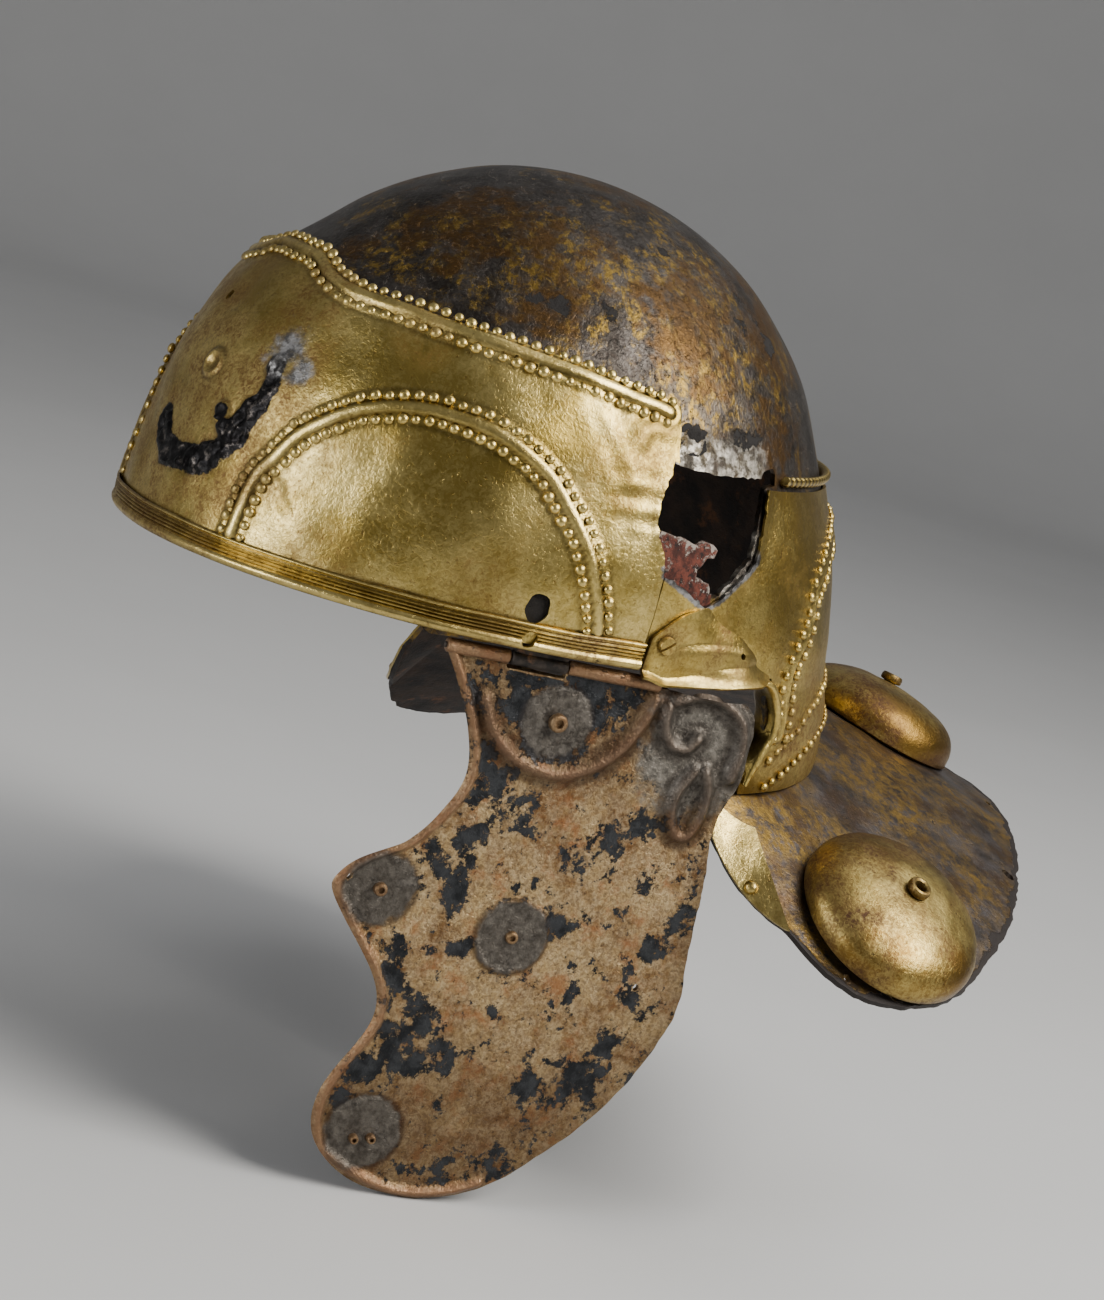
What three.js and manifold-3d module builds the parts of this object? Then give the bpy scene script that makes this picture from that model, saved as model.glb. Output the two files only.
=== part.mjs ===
// Roman helmet with one cheek piece. Millimetres, +Z up, the wearer faces -Y, the wearer's left is +X.
// The origin is the inside of the crown, where the helmet sits on the head.
import * as THREE from "three";
import { mergeVertices } from "three/addons/utils/BufferGeometryUtils.js";
import Module from "manifold-3d";

const wasm = await Module();
wasm.setup();

// Driving dimensions
const GAP = 0.3;
const FACET_ROOM = 0.2;
const SKULL_WALL = 2;
const SHEET = 1;
const DOME_HALF_WIDTH = 97;
const DOME_HALF_LENGTH = 106.8;
const DOME_HEIGHT = 107.2;
const DOME_CENTRE_Z = SKULL_WALL - DOME_HEIGHT;
const CROWN_BLEND_LOW = -40;
const CROWN_BLEND_HIGH = -20;
const RING_Z = -70;
const RING_HALF_HEIGHT = 2.3;
const RIM_Z = -131;
const EAR_EDGE_Z = -129.1;
const EAR_END = 112;
const NECK_START = 115.5;
const BINDING_HEIGHT = 8.5;
const BAND_END = 89;
const BAND_HOLE = { y: -38.8, z: -118.2, radius: 4 };
const NECK_CENTRE_Y = 50;
const NECK_HALF_WIDTH = 92;
const NECK_BACK = 70;
const JUNCTION_BACK_Z = -147;
const JUNCTION_DROP = 21;
const GUARD_END = 94;
const GUARD_SLOPE = 0.27;
const GUARD_SLOPE_GAIN = 0.35;
const NECK_EDGE_RISE = 1.5;
const GUARD_INSET = 2.4;
const GUARD_HOLE_RADIUS = 2.2;
const BOSS_RADIUS = 31;
const BOSS_HEIGHT = 16;
const BOSS_WALL = 1.4;
const BOSS_SKIRT = 3;
const BOSS_LIFT = 1.5;
const STUD_SHANK_RADIUS = 2.2;
const STUD_HEAD_RADIUS = 3.8;
const STUD_HEAD_HEIGHT = 2.8;
const BOSS_REACH = 134;
const BOSS_ANGLE = 69;
const BACK_BOSS_REACH = 126;
const HINGE_START = new THREE.Vector3(84.5, -59, -135);
const HINGE_LENGTH = 69.5;
const HINGE_TURN = 12.04;
const KNUCKLE_START = 20;
const KNUCKLE_END = 39;
const TUBE_RADIUS = 2.3;
const PIN_RADIUS = 0.9;
const LEAF_RISE = 22;
const LEAF_WALL = 1.4;
const CHEEK_WALL = 2;
const CHEEK_LENGTH = 174;
const CHEEK_INWARD = 7;
const CHEEK_BORDER_RADIUS = 2;
const CHEEK_CURL_RADIUS = 1.8;
const DISC_SUNK = 1;
const DISC_TOP = 1.8;
const DISC_STUD_TOP = 3.2;

// How far the brass cover stands out from the plain dome, level by level
const COVER_LEVELS = [
  { z: -168, side: 18.4, front: 17, back: 35.5, blunt: 2.6 },
  { z: -150, side: 10.4, front: 17, back: 23, blunt: 2.6 },
  { z: -142, side: 8, front: 17, back: 17.7, blunt: 2.6 },
  { z: -131, side: 5.8, front: 17, back: 10, blunt: 2.55 },
  { z: -100, side: 3.5, front: 11, back: 2.3, blunt: 2.3 },
  { z: -70, side: 2, front: 10, back: 1.4, blunt: 2 },
  { z: -40, side: 1.6, front: 7.5, back: 1.4, blunt: 2 },
  { z: -20, side: 1.4, front: 5, back: 1.4, blunt: 2 },
];

// How far the iron skull lies inside that cover at the front
const STAND_OFF_LEVELS = [
  { z: -168, front: 1.4 },
  { z: -85, front: 1.4 },
  { z: -70, front: 1.7 },
  { z: -40, front: 3.6 },
  { z: -20, front: 5 },
];

// Angles from the front at which the shells have a column, and the rows up each column
const FRONT_COLUMNS = [0, 12, 24, 36, 48, 60, 72, 81, 89];
const REAR_COLUMNS = [89.2, 97, 105, EAR_END, NECK_START, 121, 132, 144, 156, 168, 180];
const COVER_SHARES = [0, 0.08, 0.2, 0.38, 0.58, 0.8, 1];
const CROWN_SHARES = [0.2, 0.4, 0.6, 0.8, 1];

// Upper edge of the brow band, by the angle from the front
const BAND_TOP = [
  { angle: 0, z: -36 },
  { angle: 6, z: -36 },
  { angle: 16, z: -40 },
  { angle: 27, z: -43.4 },
  { angle: 52, z: -45.4 },
  { angle: 68, z: -47.4 },
  { angle: 83, z: -50.3 },
  { angle: 88, z: -53 },
];

// Middle of the band's raised border
const BAND_BORDER = [
  { angle: 0, z: -39 },
  { angle: 8, z: -39.5 },
  { angle: 16, z: -43 },
  { angle: 27, z: -45.6 },
  { angle: 52, z: -48.2 },
  { angle: 68, z: -50.6 },
  { angle: 86, z: -55.5 },
];

// Outer edge of the neck guard, by the angle from the back
const GUARD_EDGE = [
  { angle: 0, reach: 168 },
  { angle: 14, reach: 166 },
  { angle: 32, reach: 160 },
  { angle: 55, reach: 160 },
  { angle: 66, reach: 161 },
  { angle: 74, reach: 157 },
  { angle: 80, reach: 149 },
  { angle: 84, reach: 137 },
  { angle: 88, reach: 122 },
  { angle: 94, reach: 101 },
];

// Edges of the cheek piece: distance along the hinge line at each depth below it
const CHEEK_FRONT = [
  { depth: 1, along: 0.4 },
  { depth: 10, along: 6 },
  { depth: 24, along: 13.4 },
  { depth: 37, along: 16.6 },
  { depth: 47, along: 13.4 },
  { depth: 60, along: 3.9 },
  { depth: 67.5, along: -8.5 },
  { depth: 73, along: -13.6 },
  { depth: 77.5, along: -15 },
  { depth: 84, along: -11 },
  { depth: 100, along: 2.6 },
  { depth: 108, along: 7.6 },
  { depth: 115, along: 9.1 },
  { depth: 122, along: 7.7 },
  { depth: 139, along: -0.1 },
  { depth: 149, along: -1.3 },
  { depth: 157, along: 0.9 },
  { depth: 163, along: 5.8 },
  { depth: 169, along: 14 },
  { depth: 172.6, along: 24 },
  { depth: 174, along: 35 },
];
const CHEEK_REAR = [
  { depth: 1, along: 102.6 },
  { depth: 14, along: 104.6 },
  { depth: 24, along: 104.6 },
  { depth: 41, along: 100.8 },
  { depth: 60, along: 103 },
  { depth: 85, along: 104.6 },
  { depth: 94, along: 106 },
  { depth: 104, along: 105.5 },
  { depth: 114, along: 102.8 },
  { depth: 127, along: 97 },
  { depth: 140, along: 89 },
  { depth: 156, along: 74.7 },
  { depth: 165, along: 64.6 },
  { depth: 171, along: 53 },
  { depth: 174, along: 40 },
];

// Solder discs of the cheek piece
const CHEEK_DISCS = [
  { along: 40.5, depth: 17, radius: 10.5, stud: 2.2 },
  { along: 45, depth: 85, radius: 12, stud: 1.8 },
  { along: 0, depth: 76.5, radius: 11, stud: 1.8 },
  { along: 16.5, depth: 154, radius: 12, stud: 2 },
];

// Holes through the cheek piece and through the guard
const CHEEK_HOLES = [
  { along: -10.5, depth: 74, radius: 1.3 },
  { along: 90, depth: 95, radius: 1.4 },
];
const GUARD_HOLES = [
  { turn: 58, reach: 152 },
  { turn: 36, reach: 155 },
];

// Upper edge of the ear guard, and the angles at which it has a column
const EAR_TOP = [
  { angle: 89.6, z: -121 },
  { angle: 91.3, z: -115 },
  { angle: 93.6, z: -111 },
  { angle: 97, z: -109 },
  { angle: 101, z: -111.5 },
  { angle: 106, z: -117 },
  { angle: 112, z: -126 },
];
const EAR_COLUMNS = [89.6, 91.3, 93.6, 97, 101, 104, 106, 109, 111.4];
const EAR_ROWS = 8;
const EAR_SCREW = { angle: 91.1, z: -121.9 };

// Tools for numbers and tables
const rad = THREE.MathUtils.degToRad;
const deg = THREE.MathUtils.radToDeg;

function range(from, to, steps) {
  return Array.from({ length: steps + 1 }, (_, i) => from + ((to - from) * i) / steps);
}

function smoothStep(t) {
  const c = THREE.MathUtils.clamp(t, 0, 1);
  return c * c * (3 - 2 * c);
}

// Smooth curve through one column of a table
function curveThrough(rows, key, column, at) {
  const x = THREE.MathUtils.clamp(at, rows[0][key], rows[rows.length - 1][key]);
  let i = 0;
  while (i < rows.length - 2 && x > rows[i + 1][key]) i += 1;
  const slope = (j) => {
    const before = rows[Math.max(j - 1, 0)];
    const after = rows[Math.min(j + 1, rows.length - 1)];
    return (after[column] - before[column]) / (after[key] - before[key]);
  };
  const step = rows[i + 1][key] - rows[i][key];
  const t = (x - rows[i][key]) / step;
  const a = rows[i][column];
  const b = rows[i + 1][column];
  const rise = t * t * (3 - 2 * t);
  const start = (t * t * t - 2 * t * t + t) * step * slope(i);
  const end = (t * t * t - t * t) * step * slope(i + 1);
  return a + (b - a) * rise + start + end;
}

// Surfaces of the helmet
function domeShrink(z) {
  const rise = (z - DOME_CENTRE_Z) / DOME_HEIGHT;
  return Math.sqrt(Math.max(1 - rise * rise, 0));
}

// A point at an angle from the front, on a level whose half-widths are given
function onSection(angle, z, side, front, back, blunt) {
  const s = Math.sin(rad(angle));
  const c = Math.cos(rad(angle));
  if (c >= 0) return new THREE.Vector3(side * s, -front * c, z);
  const power = 2 / blunt;
  const x = side * Math.sign(s) * Math.abs(s) ** power;
  return new THREE.Vector3(x, back * Math.abs(c) ** power, z);
}

function cover(angle, z, out = 0) {
  const level = (column) => curveThrough(COVER_LEVELS, "z", column, z);
  const k = domeShrink(z);
  const side = DOME_HALF_WIDTH * k + level("side") + out;
  const front = DOME_HALF_LENGTH * k + level("front") + out;
  const back = DOME_HALF_LENGTH * k + level("back") + out;
  return onSection(angle, z, side, front, back, level("blunt"));
}

// The iron skull lies just inside the cover, and above it is a plain dome
function skull(angle, z) {
  const c = Math.max(Math.cos(rad(angle)), 0);
  const seat = SHEET + GAP + FACET_ROOM;
  const inside = seat + (curveThrough(STAND_OFF_LEVELS, "z", "front", z) - seat) * c * c;
  const under = cover(angle, z).addScaledVector(normalAt(cover, angle, z), -inside);
  const k = domeShrink(z);
  const length = DOME_HALF_LENGTH * k;
  const plain = onSection(angle, z, DOME_HALF_WIDTH * k, length, length, 2);
  return under.lerp(plain, smoothStep((z - CROWN_BLEND_LOW) / (CROWN_BLEND_HIGH - CROWN_BLEND_LOW)));
}

function turnFromBack(point) {
  return deg(Math.atan2(Math.abs(point.x), point.y - NECK_CENTRE_Y));
}

function junctionZ(turn) {
  return JUNCTION_BACK_Z - JUNCTION_DROP * smoothStep(Math.abs(turn) / 85);
}

function junctionReach(turn) {
  const s = Math.sin(rad(turn)) / NECK_HALF_WIDTH;
  const c = Math.cos(rad(turn)) / NECK_BACK;
  return 1 / Math.sqrt(s * s + c * c);
}

// The neck guard's upper face, round the neck's centre; it dips at the front corners
function guard(turn, reach, up = 0) {
  const size = Math.abs(turn);
  const bend = 0.06 * THREE.MathUtils.clamp(size - 86, 0, 12);
  const slope = GUARD_SLOPE + GUARD_SLOPE_GAIN * (size / BOSS_ANGLE) ** 2 + bend;
  const drop = slope * Math.max(reach - junctionReach(turn), 0);
  const x = reach * Math.sin(rad(turn));
  const y = NECK_CENTRE_Y + reach * Math.cos(rad(turn));
  return new THREE.Vector3(x, y, junctionZ(turn) - drop + up);
}

function guardReach(turn) {
  return curveThrough(GUARD_EDGE, "angle", "reach", Math.abs(turn));
}

// Lower edge of the skull and of the sheets over it, by the angle from the front
function lowerEdge(angle) {
  const size = Math.abs(angle > 180 ? angle - 360 : angle);
  if (size <= EAR_END) return EAR_EDGE_Z;
  const neckZ = junctionZ(turnFromBack(cover(size, -158))) + NECK_EDGE_RISE;
  return THREE.MathUtils.lerp(EAR_EDGE_Z, neckZ, smoothStep((size - EAR_END) / (NECK_START - EAR_END)));
}

// Upper edge of the sheets: the brow band's top in front, and the ring behind
function upperEdge(angle) {
  const size = Math.abs(angle > 180 ? angle - 360 : angle);
  if (size <= BAND_END) return curveThrough(BAND_TOP, "angle", "z", size);
  return RING_Z - RING_HALF_HEIGHT - GAP - 0.1;
}

function coverRow(angle, share) {
  return [angle, THREE.MathUtils.lerp(lowerEdge(angle), upperEdge(angle), share)];
}

// The plane that the cheek piece hangs in
const hingeAxis = new THREE.Vector3(Math.sin(rad(HINGE_TURN)), Math.cos(rad(HINGE_TURN)), 0);
const cheekOut = new THREE.Vector3(hingeAxis.y, -hingeAxis.x, 0);

function cheek(along, depth, out = 0) {
  const sag = -CHEEK_INWARD * (depth / CHEEK_LENGTH) ** 2;
  const point = HINGE_START.clone().addScaledVector(hingeAxis, along);
  point.addScaledVector(cheekOut, sag + out);
  point.z -= depth;
  return point;
}

// Building closed bodies
function bodyFrom(triangles) {
  const index = new Map();
  const positions = [];
  const faces = [];
  const idOf = (p) => {
    const key = [p.x, p.y, p.z].map((v) => Math.round(v * 1e4)).join();
    if (!index.has(key)) {
      index.set(key, positions.length / 3);
      positions.push(p.x, p.y, p.z);
    }
    return index.get(key);
  };
  let volume = 0;
  for (const [a, b, c] of triangles) {
    const ids = [idOf(a), idOf(b), idOf(c)];
    if (new Set(ids).size < 3) continue;
    volume += a.dot(new THREE.Vector3().crossVectors(b, c));
    faces.push(ids);
  }
  const order = volume > 0 ? faces : faces.map(([a, b, c]) => [a, c, b]);
  const geometry = new THREE.BufferGeometry();
  geometry.setAttribute("position", new THREE.Float32BufferAttribute(positions, 3));
  geometry.setIndex(order.flat());
  return geometry;
}

// Two triangles; the diagonal turns the other way on the wearer's right, so both sides match
function quad(triangles, a, b, c, d) {
  if (a.x + b.x + c.x + d.x >= 0) triangles.push([a, b, c], [a, c, d]);
  else triangles.push([b, c, d], [b, d, a]);
}

function normalAt(surface, u, v) {
  const stepU = 0.05;
  const stepV = 0.05;
  const du = surface(u + stepU, v).sub(surface(u - stepU, v));
  const dv = surface(u, v + stepV).sub(surface(u, v - stepV));
  return du.cross(dv).normalize();
}

// A sheet of even thickness below a surface given by point(i, j) and normal(i, j)
function sheet(columns, rows, point, normal, thickness, closed = false) {
  const outer = [];
  const inner = [];
  for (let i = 0; i < columns; i += 1) {
    outer.push(Array.from({ length: rows }, (_, j) => point(i, j)));
    inner.push(outer[i].map((p, j) => p.clone().addScaledVector(normal(i, j), -thickness)));
  }
  const triangles = [];
  const last = closed ? columns : columns - 1;
  for (let i = 0; i < last; i += 1) {
    const k = (i + 1) % columns;
    for (let j = 0; j < rows - 1; j += 1) {
      quad(triangles, outer[i][j], outer[k][j], outer[k][j + 1], outer[i][j + 1]);
      quad(triangles, inner[i][j], inner[i][j + 1], inner[k][j + 1], inner[k][j]);
    }
    quad(triangles, outer[i][0], inner[i][0], inner[k][0], outer[k][0]);
    quad(triangles, outer[i][rows - 1], outer[k][rows - 1], inner[k][rows - 1], inner[i][rows - 1]);
  }
  if (!closed) {
    for (let j = 0; j < rows - 1; j += 1) {
      const e = columns - 1;
      quad(triangles, outer[0][j], outer[0][j + 1], inner[0][j + 1], inner[0][j]);
      quad(triangles, outer[e][j], inner[e][j], inner[e][j + 1], outer[e][j + 1]);
    }
  }
  return bodyFrom(triangles);
}

// A strip whose cross-section corners are given ring by ring
function strip(rings) {
  const triangles = [];
  const count = rings[0].length;
  for (let i = 0; i < rings.length - 1; i += 1) {
    for (let j = 0; j < count; j += 1) {
      const k = (j + 1) % count;
      quad(triangles, rings[i][j], rings[i + 1][j], rings[i + 1][k], rings[i][k]);
    }
  }
  const flatten = (ring) => {
    const u = ring[1].clone().sub(ring[0]).normalize();
    const far = ring[Math.floor(count / 2)].clone().sub(ring[0]);
    const n = u.clone().cross(far).normalize();
    const v = n.clone().cross(u);
    return ring.map((p) => new THREE.Vector2(p.clone().sub(ring[0]).dot(u), p.clone().sub(ring[0]).dot(v)));
  };
  const caps = THREE.ShapeUtils.triangulateShape(flatten(rings[0]), []);
  const end = rings[rings.length - 1];
  for (const [a, b, c] of caps) {
    triangles.push([rings[0][a], rings[0][b], rings[0][c]]);
    triangles.push([end[a], end[c], end[b]]);
  }
  return bodyFrom(triangles);
}

// A raised rib along a path on a surface; the profile rows say how far across and how far out
function rib(surface, path, profile) {
  const points = path.map(([u, v]) => surface(u, v));
  const rings = points.map((p, i) => {
    const ahead = points[Math.min(i + 1, points.length - 1)];
    const behind = points[Math.max(i - 1, 0)];
    const along = ahead.clone().sub(behind).normalize();
    const out = normalAt(surface, path[i][0], path[i][1]);
    const across = out.clone().cross(along).normalize();
    return profile.map((q) => p.clone().addScaledVector(across, q.across).addScaledVector(out, q.out));
  });
  return strip(rings);
}

function toSolid(geometry) {
  const bare = new THREE.BufferGeometry();
  bare.setAttribute("position", geometry.getAttribute("position").clone());
  if (geometry.index) bare.setIndex(geometry.index.clone());
  const merged = mergeVertices(bare, 1e-4);
  const vertProperties = new Float32Array(merged.getAttribute("position").array);
  const triVerts = new Uint32Array(merged.index.array);
  return new wasm.Manifold(new wasm.Mesh({ numProp: 3, vertProperties, triVerts }));
}

function toGeometry(solid) {
  const mesh = solid.getMesh();
  const geometry = new THREE.BufferGeometry();
  geometry.setAttribute("position", new THREE.Float32BufferAttribute(mesh.vertProperties, 3));
  geometry.setIndex(Array.from(mesh.triVerts));
  return geometry;
}

function join(...geometries) {
  return toGeometry(geometries.map(toSolid).reduce((a, b) => a.add(b)));
}

function cut(geometry, ...tools) {
  return toGeometry(tools.map(toSolid).reduce((a, b) => a.subtract(b), toSolid(geometry)));
}

function mirrored(geometry) {
  const copy = geometry.clone();
  const position = copy.getAttribute("position");
  for (let i = 0; i < position.count; i += 1) position.setX(i, -position.getX(i));
  const index = Array.from(copy.index.array);
  for (let i = 0; i < index.length; i += 3) [index[i], index[i + 1]] = [index[i + 1], index[i]];
  copy.setIndex(index);
  return copy;
}

// A round rod between two points, bored through when a bore is given
function rod(from, to, radius, bore = 0, segments = 12) {
  const way = to.clone().sub(from);
  const shape = new THREE.Shape().absarc(0, 0, radius, 0, Math.PI * 2, false);
  if (bore > 0) shape.holes.push(new THREE.Path().absarc(0, 0, bore, 0, Math.PI * 2, true));
  const geometry = new THREE.ExtrudeGeometry(shape, {
    depth: way.length(),
    bevelEnabled: false,
    curveSegments: segments,
  });
  const turn = new THREE.Quaternion().setFromUnitVectors(new THREE.Vector3(0, 0, 1), way.normalize());
  geometry.applyQuaternion(turn);
  geometry.translate(from.x, from.y, from.z);
  return toGeometry(toSolid(geometry));
}

// A turned piece, its foot at a point and its axis along a direction
function turned(profile, foot, direction, sides) {
  const points = profile.map(([r, h]) => new THREE.Vector2(r, h));
  const geometry = new THREE.LatheGeometry(points, sides);
  const turn = new THREE.Quaternion().setFromUnitVectors(new THREE.Vector3(0, 1, 0), direction);
  geometry.applyQuaternion(turn);
  geometry.translate(foot.x, foot.y, foot.z);
  return toGeometry(toSolid(geometry));
}

// A prism through the left wall, its outline given in the side view
const CUTTER_START = 55;
const CUTTER_END = 135;

function sideCutter(outline) {
  const shape = new THREE.Shape(outline.map(([y, z]) => new THREE.Vector2(y, z)));
  const depth = CUTTER_END - CUTTER_START;
  const geometry = new THREE.ExtrudeGeometry(shape, { depth, bevelEnabled: false });
  const basis = new THREE.Matrix4().makeBasis(
    new THREE.Vector3(0, 1, 0),
    new THREE.Vector3(0, 0, 1),
    new THREE.Vector3(1, 0, 0),
  );
  geometry.applyMatrix4(basis);
  geometry.translate(CUTTER_START, 0, 0);
  return geometry;
}

// The torn hole at the left rear, in the sheet and in the iron behind it
const SHEET_TEAR = [
  [-3.4, -69],
  [12.8, -71],
  [36.1, -71],
  [36, -79],
  [33.4, -93.7],
  [29.5, -98.2],
  [20.3, -107],
  [15.3, -109],
  [-1.7, -101.4],
  [-3.2, -97],
  [-7.8, -87],
  [-7.8, -80.8],
];
const SKULL_TEAR = [
  [-3.4, -69.5],
  [12.8, -70.5],
  [36.1, -70.2],
  [35.9, -79],
  [33.4, -93.7],
  [29.5, -98.2],
  [21.8, -106.8],
  [18.9, -104],
  [13, -100],
  [19.4, -93.7],
  [17.8, -90],
  [0.8, -89],
  [-5.8, -89],
  [-7.6, -80.8],
];

// Skull
function makeSkull() {
  const half = [...FRONT_COLUMNS, ...REAR_COLUMNS.slice(1)];
  const angles = [...half, ...half.slice(1, -1).reverse().map((a) => 360 - a)];
  const rows = COVER_SHARES.length + CROWN_SHARES.length;
  const place = (i, j) => {
    if (j < COVER_SHARES.length) return coverRow(angles[i], COVER_SHARES[j]);
    const low = Math.asin((upperEdge(angles[i]) - DOME_CENTRE_Z) / DOME_HEIGHT);
    const rise = THREE.MathUtils.lerp(low, Math.PI / 2, CROWN_SHARES[j - COVER_SHARES.length]);
    return [angles[i], DOME_CENTRE_Z + DOME_HEIGHT * Math.sin(rise)];
  };
  const point = (i, j) => (j === rows - 1 ? new THREE.Vector3(0, 0, SKULL_WALL) : skull(...place(i, j)));
  const normal = (i, j) => {
    if (j === rows - 1) return new THREE.Vector3(0, 0, 1);
    return normalAt(cover, ...place(i, j));
  };
  const shell = sheet(angles.length, rows, point, normal, SKULL_WALL, true);
  return cut(shell, sideCutter(SKULL_TEAR));
}

// Brow band with its arches and its border
const RIB_PROFILE = [
  { across: -5, out: -0.25 },
  { across: -5, out: 0.6 },
  { across: -3.6, out: 1.5 },
  { across: 3.6, out: 1.5 },
  { across: 5, out: 0.6 },
  { across: 5, out: -0.25 },
];
const ARCH_MIDDLE = 51.5;
const ARCH_HALF_SPAN = 29.4;
const ARCH_FOOT_Z = -121.5;
const ARCH_RISE = 51.3;
const BORDER_WIDTH = 0.62;
const NAPE_ARCH_WIDTH = 0.8;
const NAPE_LINE_WIDTH = 0.4;
const NAPE_HEIGHT = 0.8;

function scaled(profile, width, height) {
  return profile.map((q) => ({ across: q.across * width, out: q.out * height }));
}

function makeBrowBand() {
  const angles = [...FRONT_COLUMNS.slice(1).reverse().map((a) => -a), ...FRONT_COLUMNS];
  const place = (i, j) => coverRow(angles[i], COVER_SHARES[j]);
  const normal = (i, j) => normalAt(cover, ...place(i, j));
  const plate = sheet(angles.length, COVER_SHARES.length, (i, j) => cover(...place(i, j)), normal, SHEET);
  const archPath = range(0, 180, 12).map((t) => [
    ARCH_MIDDLE - ARCH_HALF_SPAN * Math.cos(rad(t)),
    ARCH_FOOT_Z + ARCH_RISE * Math.sin(rad(t)),
  ]);
  const arch = rib(cover, archPath, RIB_PROFILE);
  const narrow = scaled(RIB_PROFILE, BORDER_WIDTH, 1);
  const borderPath = range(-86, 86, 20).map((a) => [a, curveThrough(BAND_BORDER, "angle", "z", Math.abs(a))]);
  const border = rib(cover, borderPath, narrow);
  const whole = join(plate, arch, mirrored(arch), border);
  const throughHole = (x) => new THREE.Vector3(x, BAND_HOLE.y, BAND_HOLE.z);
  const hole = rod(throughHole(CUTTER_START), throughHole(CUTTER_END), BAND_HOLE.radius, 0, 4);
  return cut(whole, sideCutter(SHEET_TEAR), hole);
}

// Ribbed binding along the lower edge of the brow
function makeRimBinding() {
  const profile = [
    { out: 0.6, up: BINDING_HEIGHT },
    { out: 1.6, up: BINDING_HEIGHT },
    { out: 2.3, up: 7.2 },
    { out: 1.7, up: 5.8 },
    { out: 2.4, up: 4.4 },
    { out: 1.8, up: 3 },
    { out: 2.4, up: 1.6 },
    { out: 1.4, up: 0 },
    { out: -3.4, up: 0 },
    { out: -3.4, up: 1.1 },
    { out: 0.6, up: 1.1 },
  ];
  const angles = [...FRONT_COLUMNS.slice(1).reverse().map((a) => -a), ...FRONT_COLUMNS];
  return strip(angles.map((a) => profile.map((q) => cover(a, RIM_Z + q.up, q.out))));
}

// Cabled ring round the back of the dome
function makeRearRing() {
  const profile = [
    { out: -1, up: -RING_HALF_HEIGHT },
    { out: 0.8, up: -RING_HALF_HEIGHT },
    { out: 2.2, up: 0 },
    { out: 0.8, up: RING_HALF_HEIGHT },
    { out: -1, up: RING_HALF_HEIGHT },
  ];
  const angles = range(112.5, 270, 21);
  return strip(angles.map((a) => profile.map((q) => cover(a, RING_Z + q.up, q.out))));
}

// Brass sheath of the nape, with the arch over its middle and the line above the junction
const NAPE_ARCH = [
  { angle: 118.5, z: -150 },
  { angle: 119, z: -138 },
  { angle: 121, z: -124 },
  { angle: 127, z: -100 },
  { angle: 140, z: -88 },
  { angle: 160, z: -83 },
  { angle: 180, z: -82 },
];
const NAPE_LINE = [
  { angle: 117, z: -153.8 },
  { angle: 123, z: -147 },
  { angle: 130, z: -138.6 },
  { angle: 150, z: -131 },
  { angle: 180, z: -129 },
];

function makeNeckSheath() {
  const angles = [...REAR_COLUMNS, ...REAR_COLUMNS.slice(0, -1).reverse().map((a) => 360 - a)];
  const place = (i, j) => coverRow(angles[i], COVER_SHARES[j]);
  const normal = (i, j) => normalAt(cover, ...place(i, j));
  const plate = sheet(angles.length, COVER_SHARES.length, (i, j) => cover(...place(i, j)), normal, SHEET);
  const low = scaled(RIB_PROFILE, NAPE_ARCH_WIDTH, NAPE_HEIGHT);
  const thin = scaled(RIB_PROFILE, NAPE_LINE_WIDTH, NAPE_HEIGHT);
  const pathOver = (rows, columns) => {
    const half = columns.map((a) => [a, curveThrough(rows, "angle", "z", a)]);
    return [...half, ...half.slice(0, -1).reverse().map(([a, z]) => [360 - a, z])];
  };
  const nape = REAR_COLUMNS.filter((a) => a > 120);
  const arch = rib(cover, pathOver(NAPE_ARCH, [118.5, 119, ...nape]), low);
  const line = rib(cover, pathOver(NAPE_LINE, [117, ...nape]), thin);
  return cut(join(plate, arch, line), sideCutter(SHEET_TEAR));
}

// Neck guard
const GUARD_SHARES = [0, 0.05, 0.3, 0.55, 0.8, 1];
const GUARD_SIDE_TURNS = [64.5, 69, 74, 78, 82, 86, 90, GUARD_END];

function guardRow(turn, share) {
  return [turn, THREE.MathUtils.lerp(junctionReach(turn) - GUARD_INSET, guardReach(turn), share)];
}

function makeNeckGuard() {
  const otherSide = GUARD_SIDE_TURNS.slice().reverse().map((a) => -a);
  const turns = [...otherSide, ...range(-60, 60, 12), ...GUARD_SIDE_TURNS];
  const place = (i, j) => guardRow(turns[i], GUARD_SHARES[j]);
  const normal = (i, j) => normalAt(guard, ...place(i, j));
  const plate = sheet(turns.length, GUARD_SHARES.length, (i, j) => guard(...place(i, j)), normal, SKULL_WALL);
  const through = 8;
  const holes = GUARD_HOLES.map(({ turn, reach }) => {
    return rod(guard(turn, reach, -through), guard(turn, reach, through), GUARD_HOLE_RADIUS, 0, 3);
  });
  return cut(plate, ...holes);
}

// Brass strip over the guard's front edge, with its rivet
const EDGE_RIVET = { turn: 89, reach: 114 };

function makeGuardEdge() {
  const turns = GUARD_SIDE_TURNS.slice(-3);
  const shares = GUARD_SHARES.slice(2);
  const lift = GAP + SHEET;
  const place = (i, j) => guardRow(turns[i], shares[j]);
  const normal = (i, j) => normalAt(guard, ...place(i, j));
  const point = (i, j) => guard(...place(i, j)).addScaledVector(normal(i, j), lift);
  const plate = sheet(turns.length, shares.length, point, normal, SHEET);
  const head = normalAt(guard, EDGE_RIVET.turn, EDGE_RIVET.reach);
  const foot = guard(EDGE_RIVET.turn, EDGE_RIVET.reach).addScaledVector(head, lift - 0.7);
  const rivet = turned([[0, 0], [2.1, 0], [2.1, 1.4], [1.2, 2.2], [0, 2.4]], foot, head, 8);
  return join(plate, rivet);
}

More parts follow.
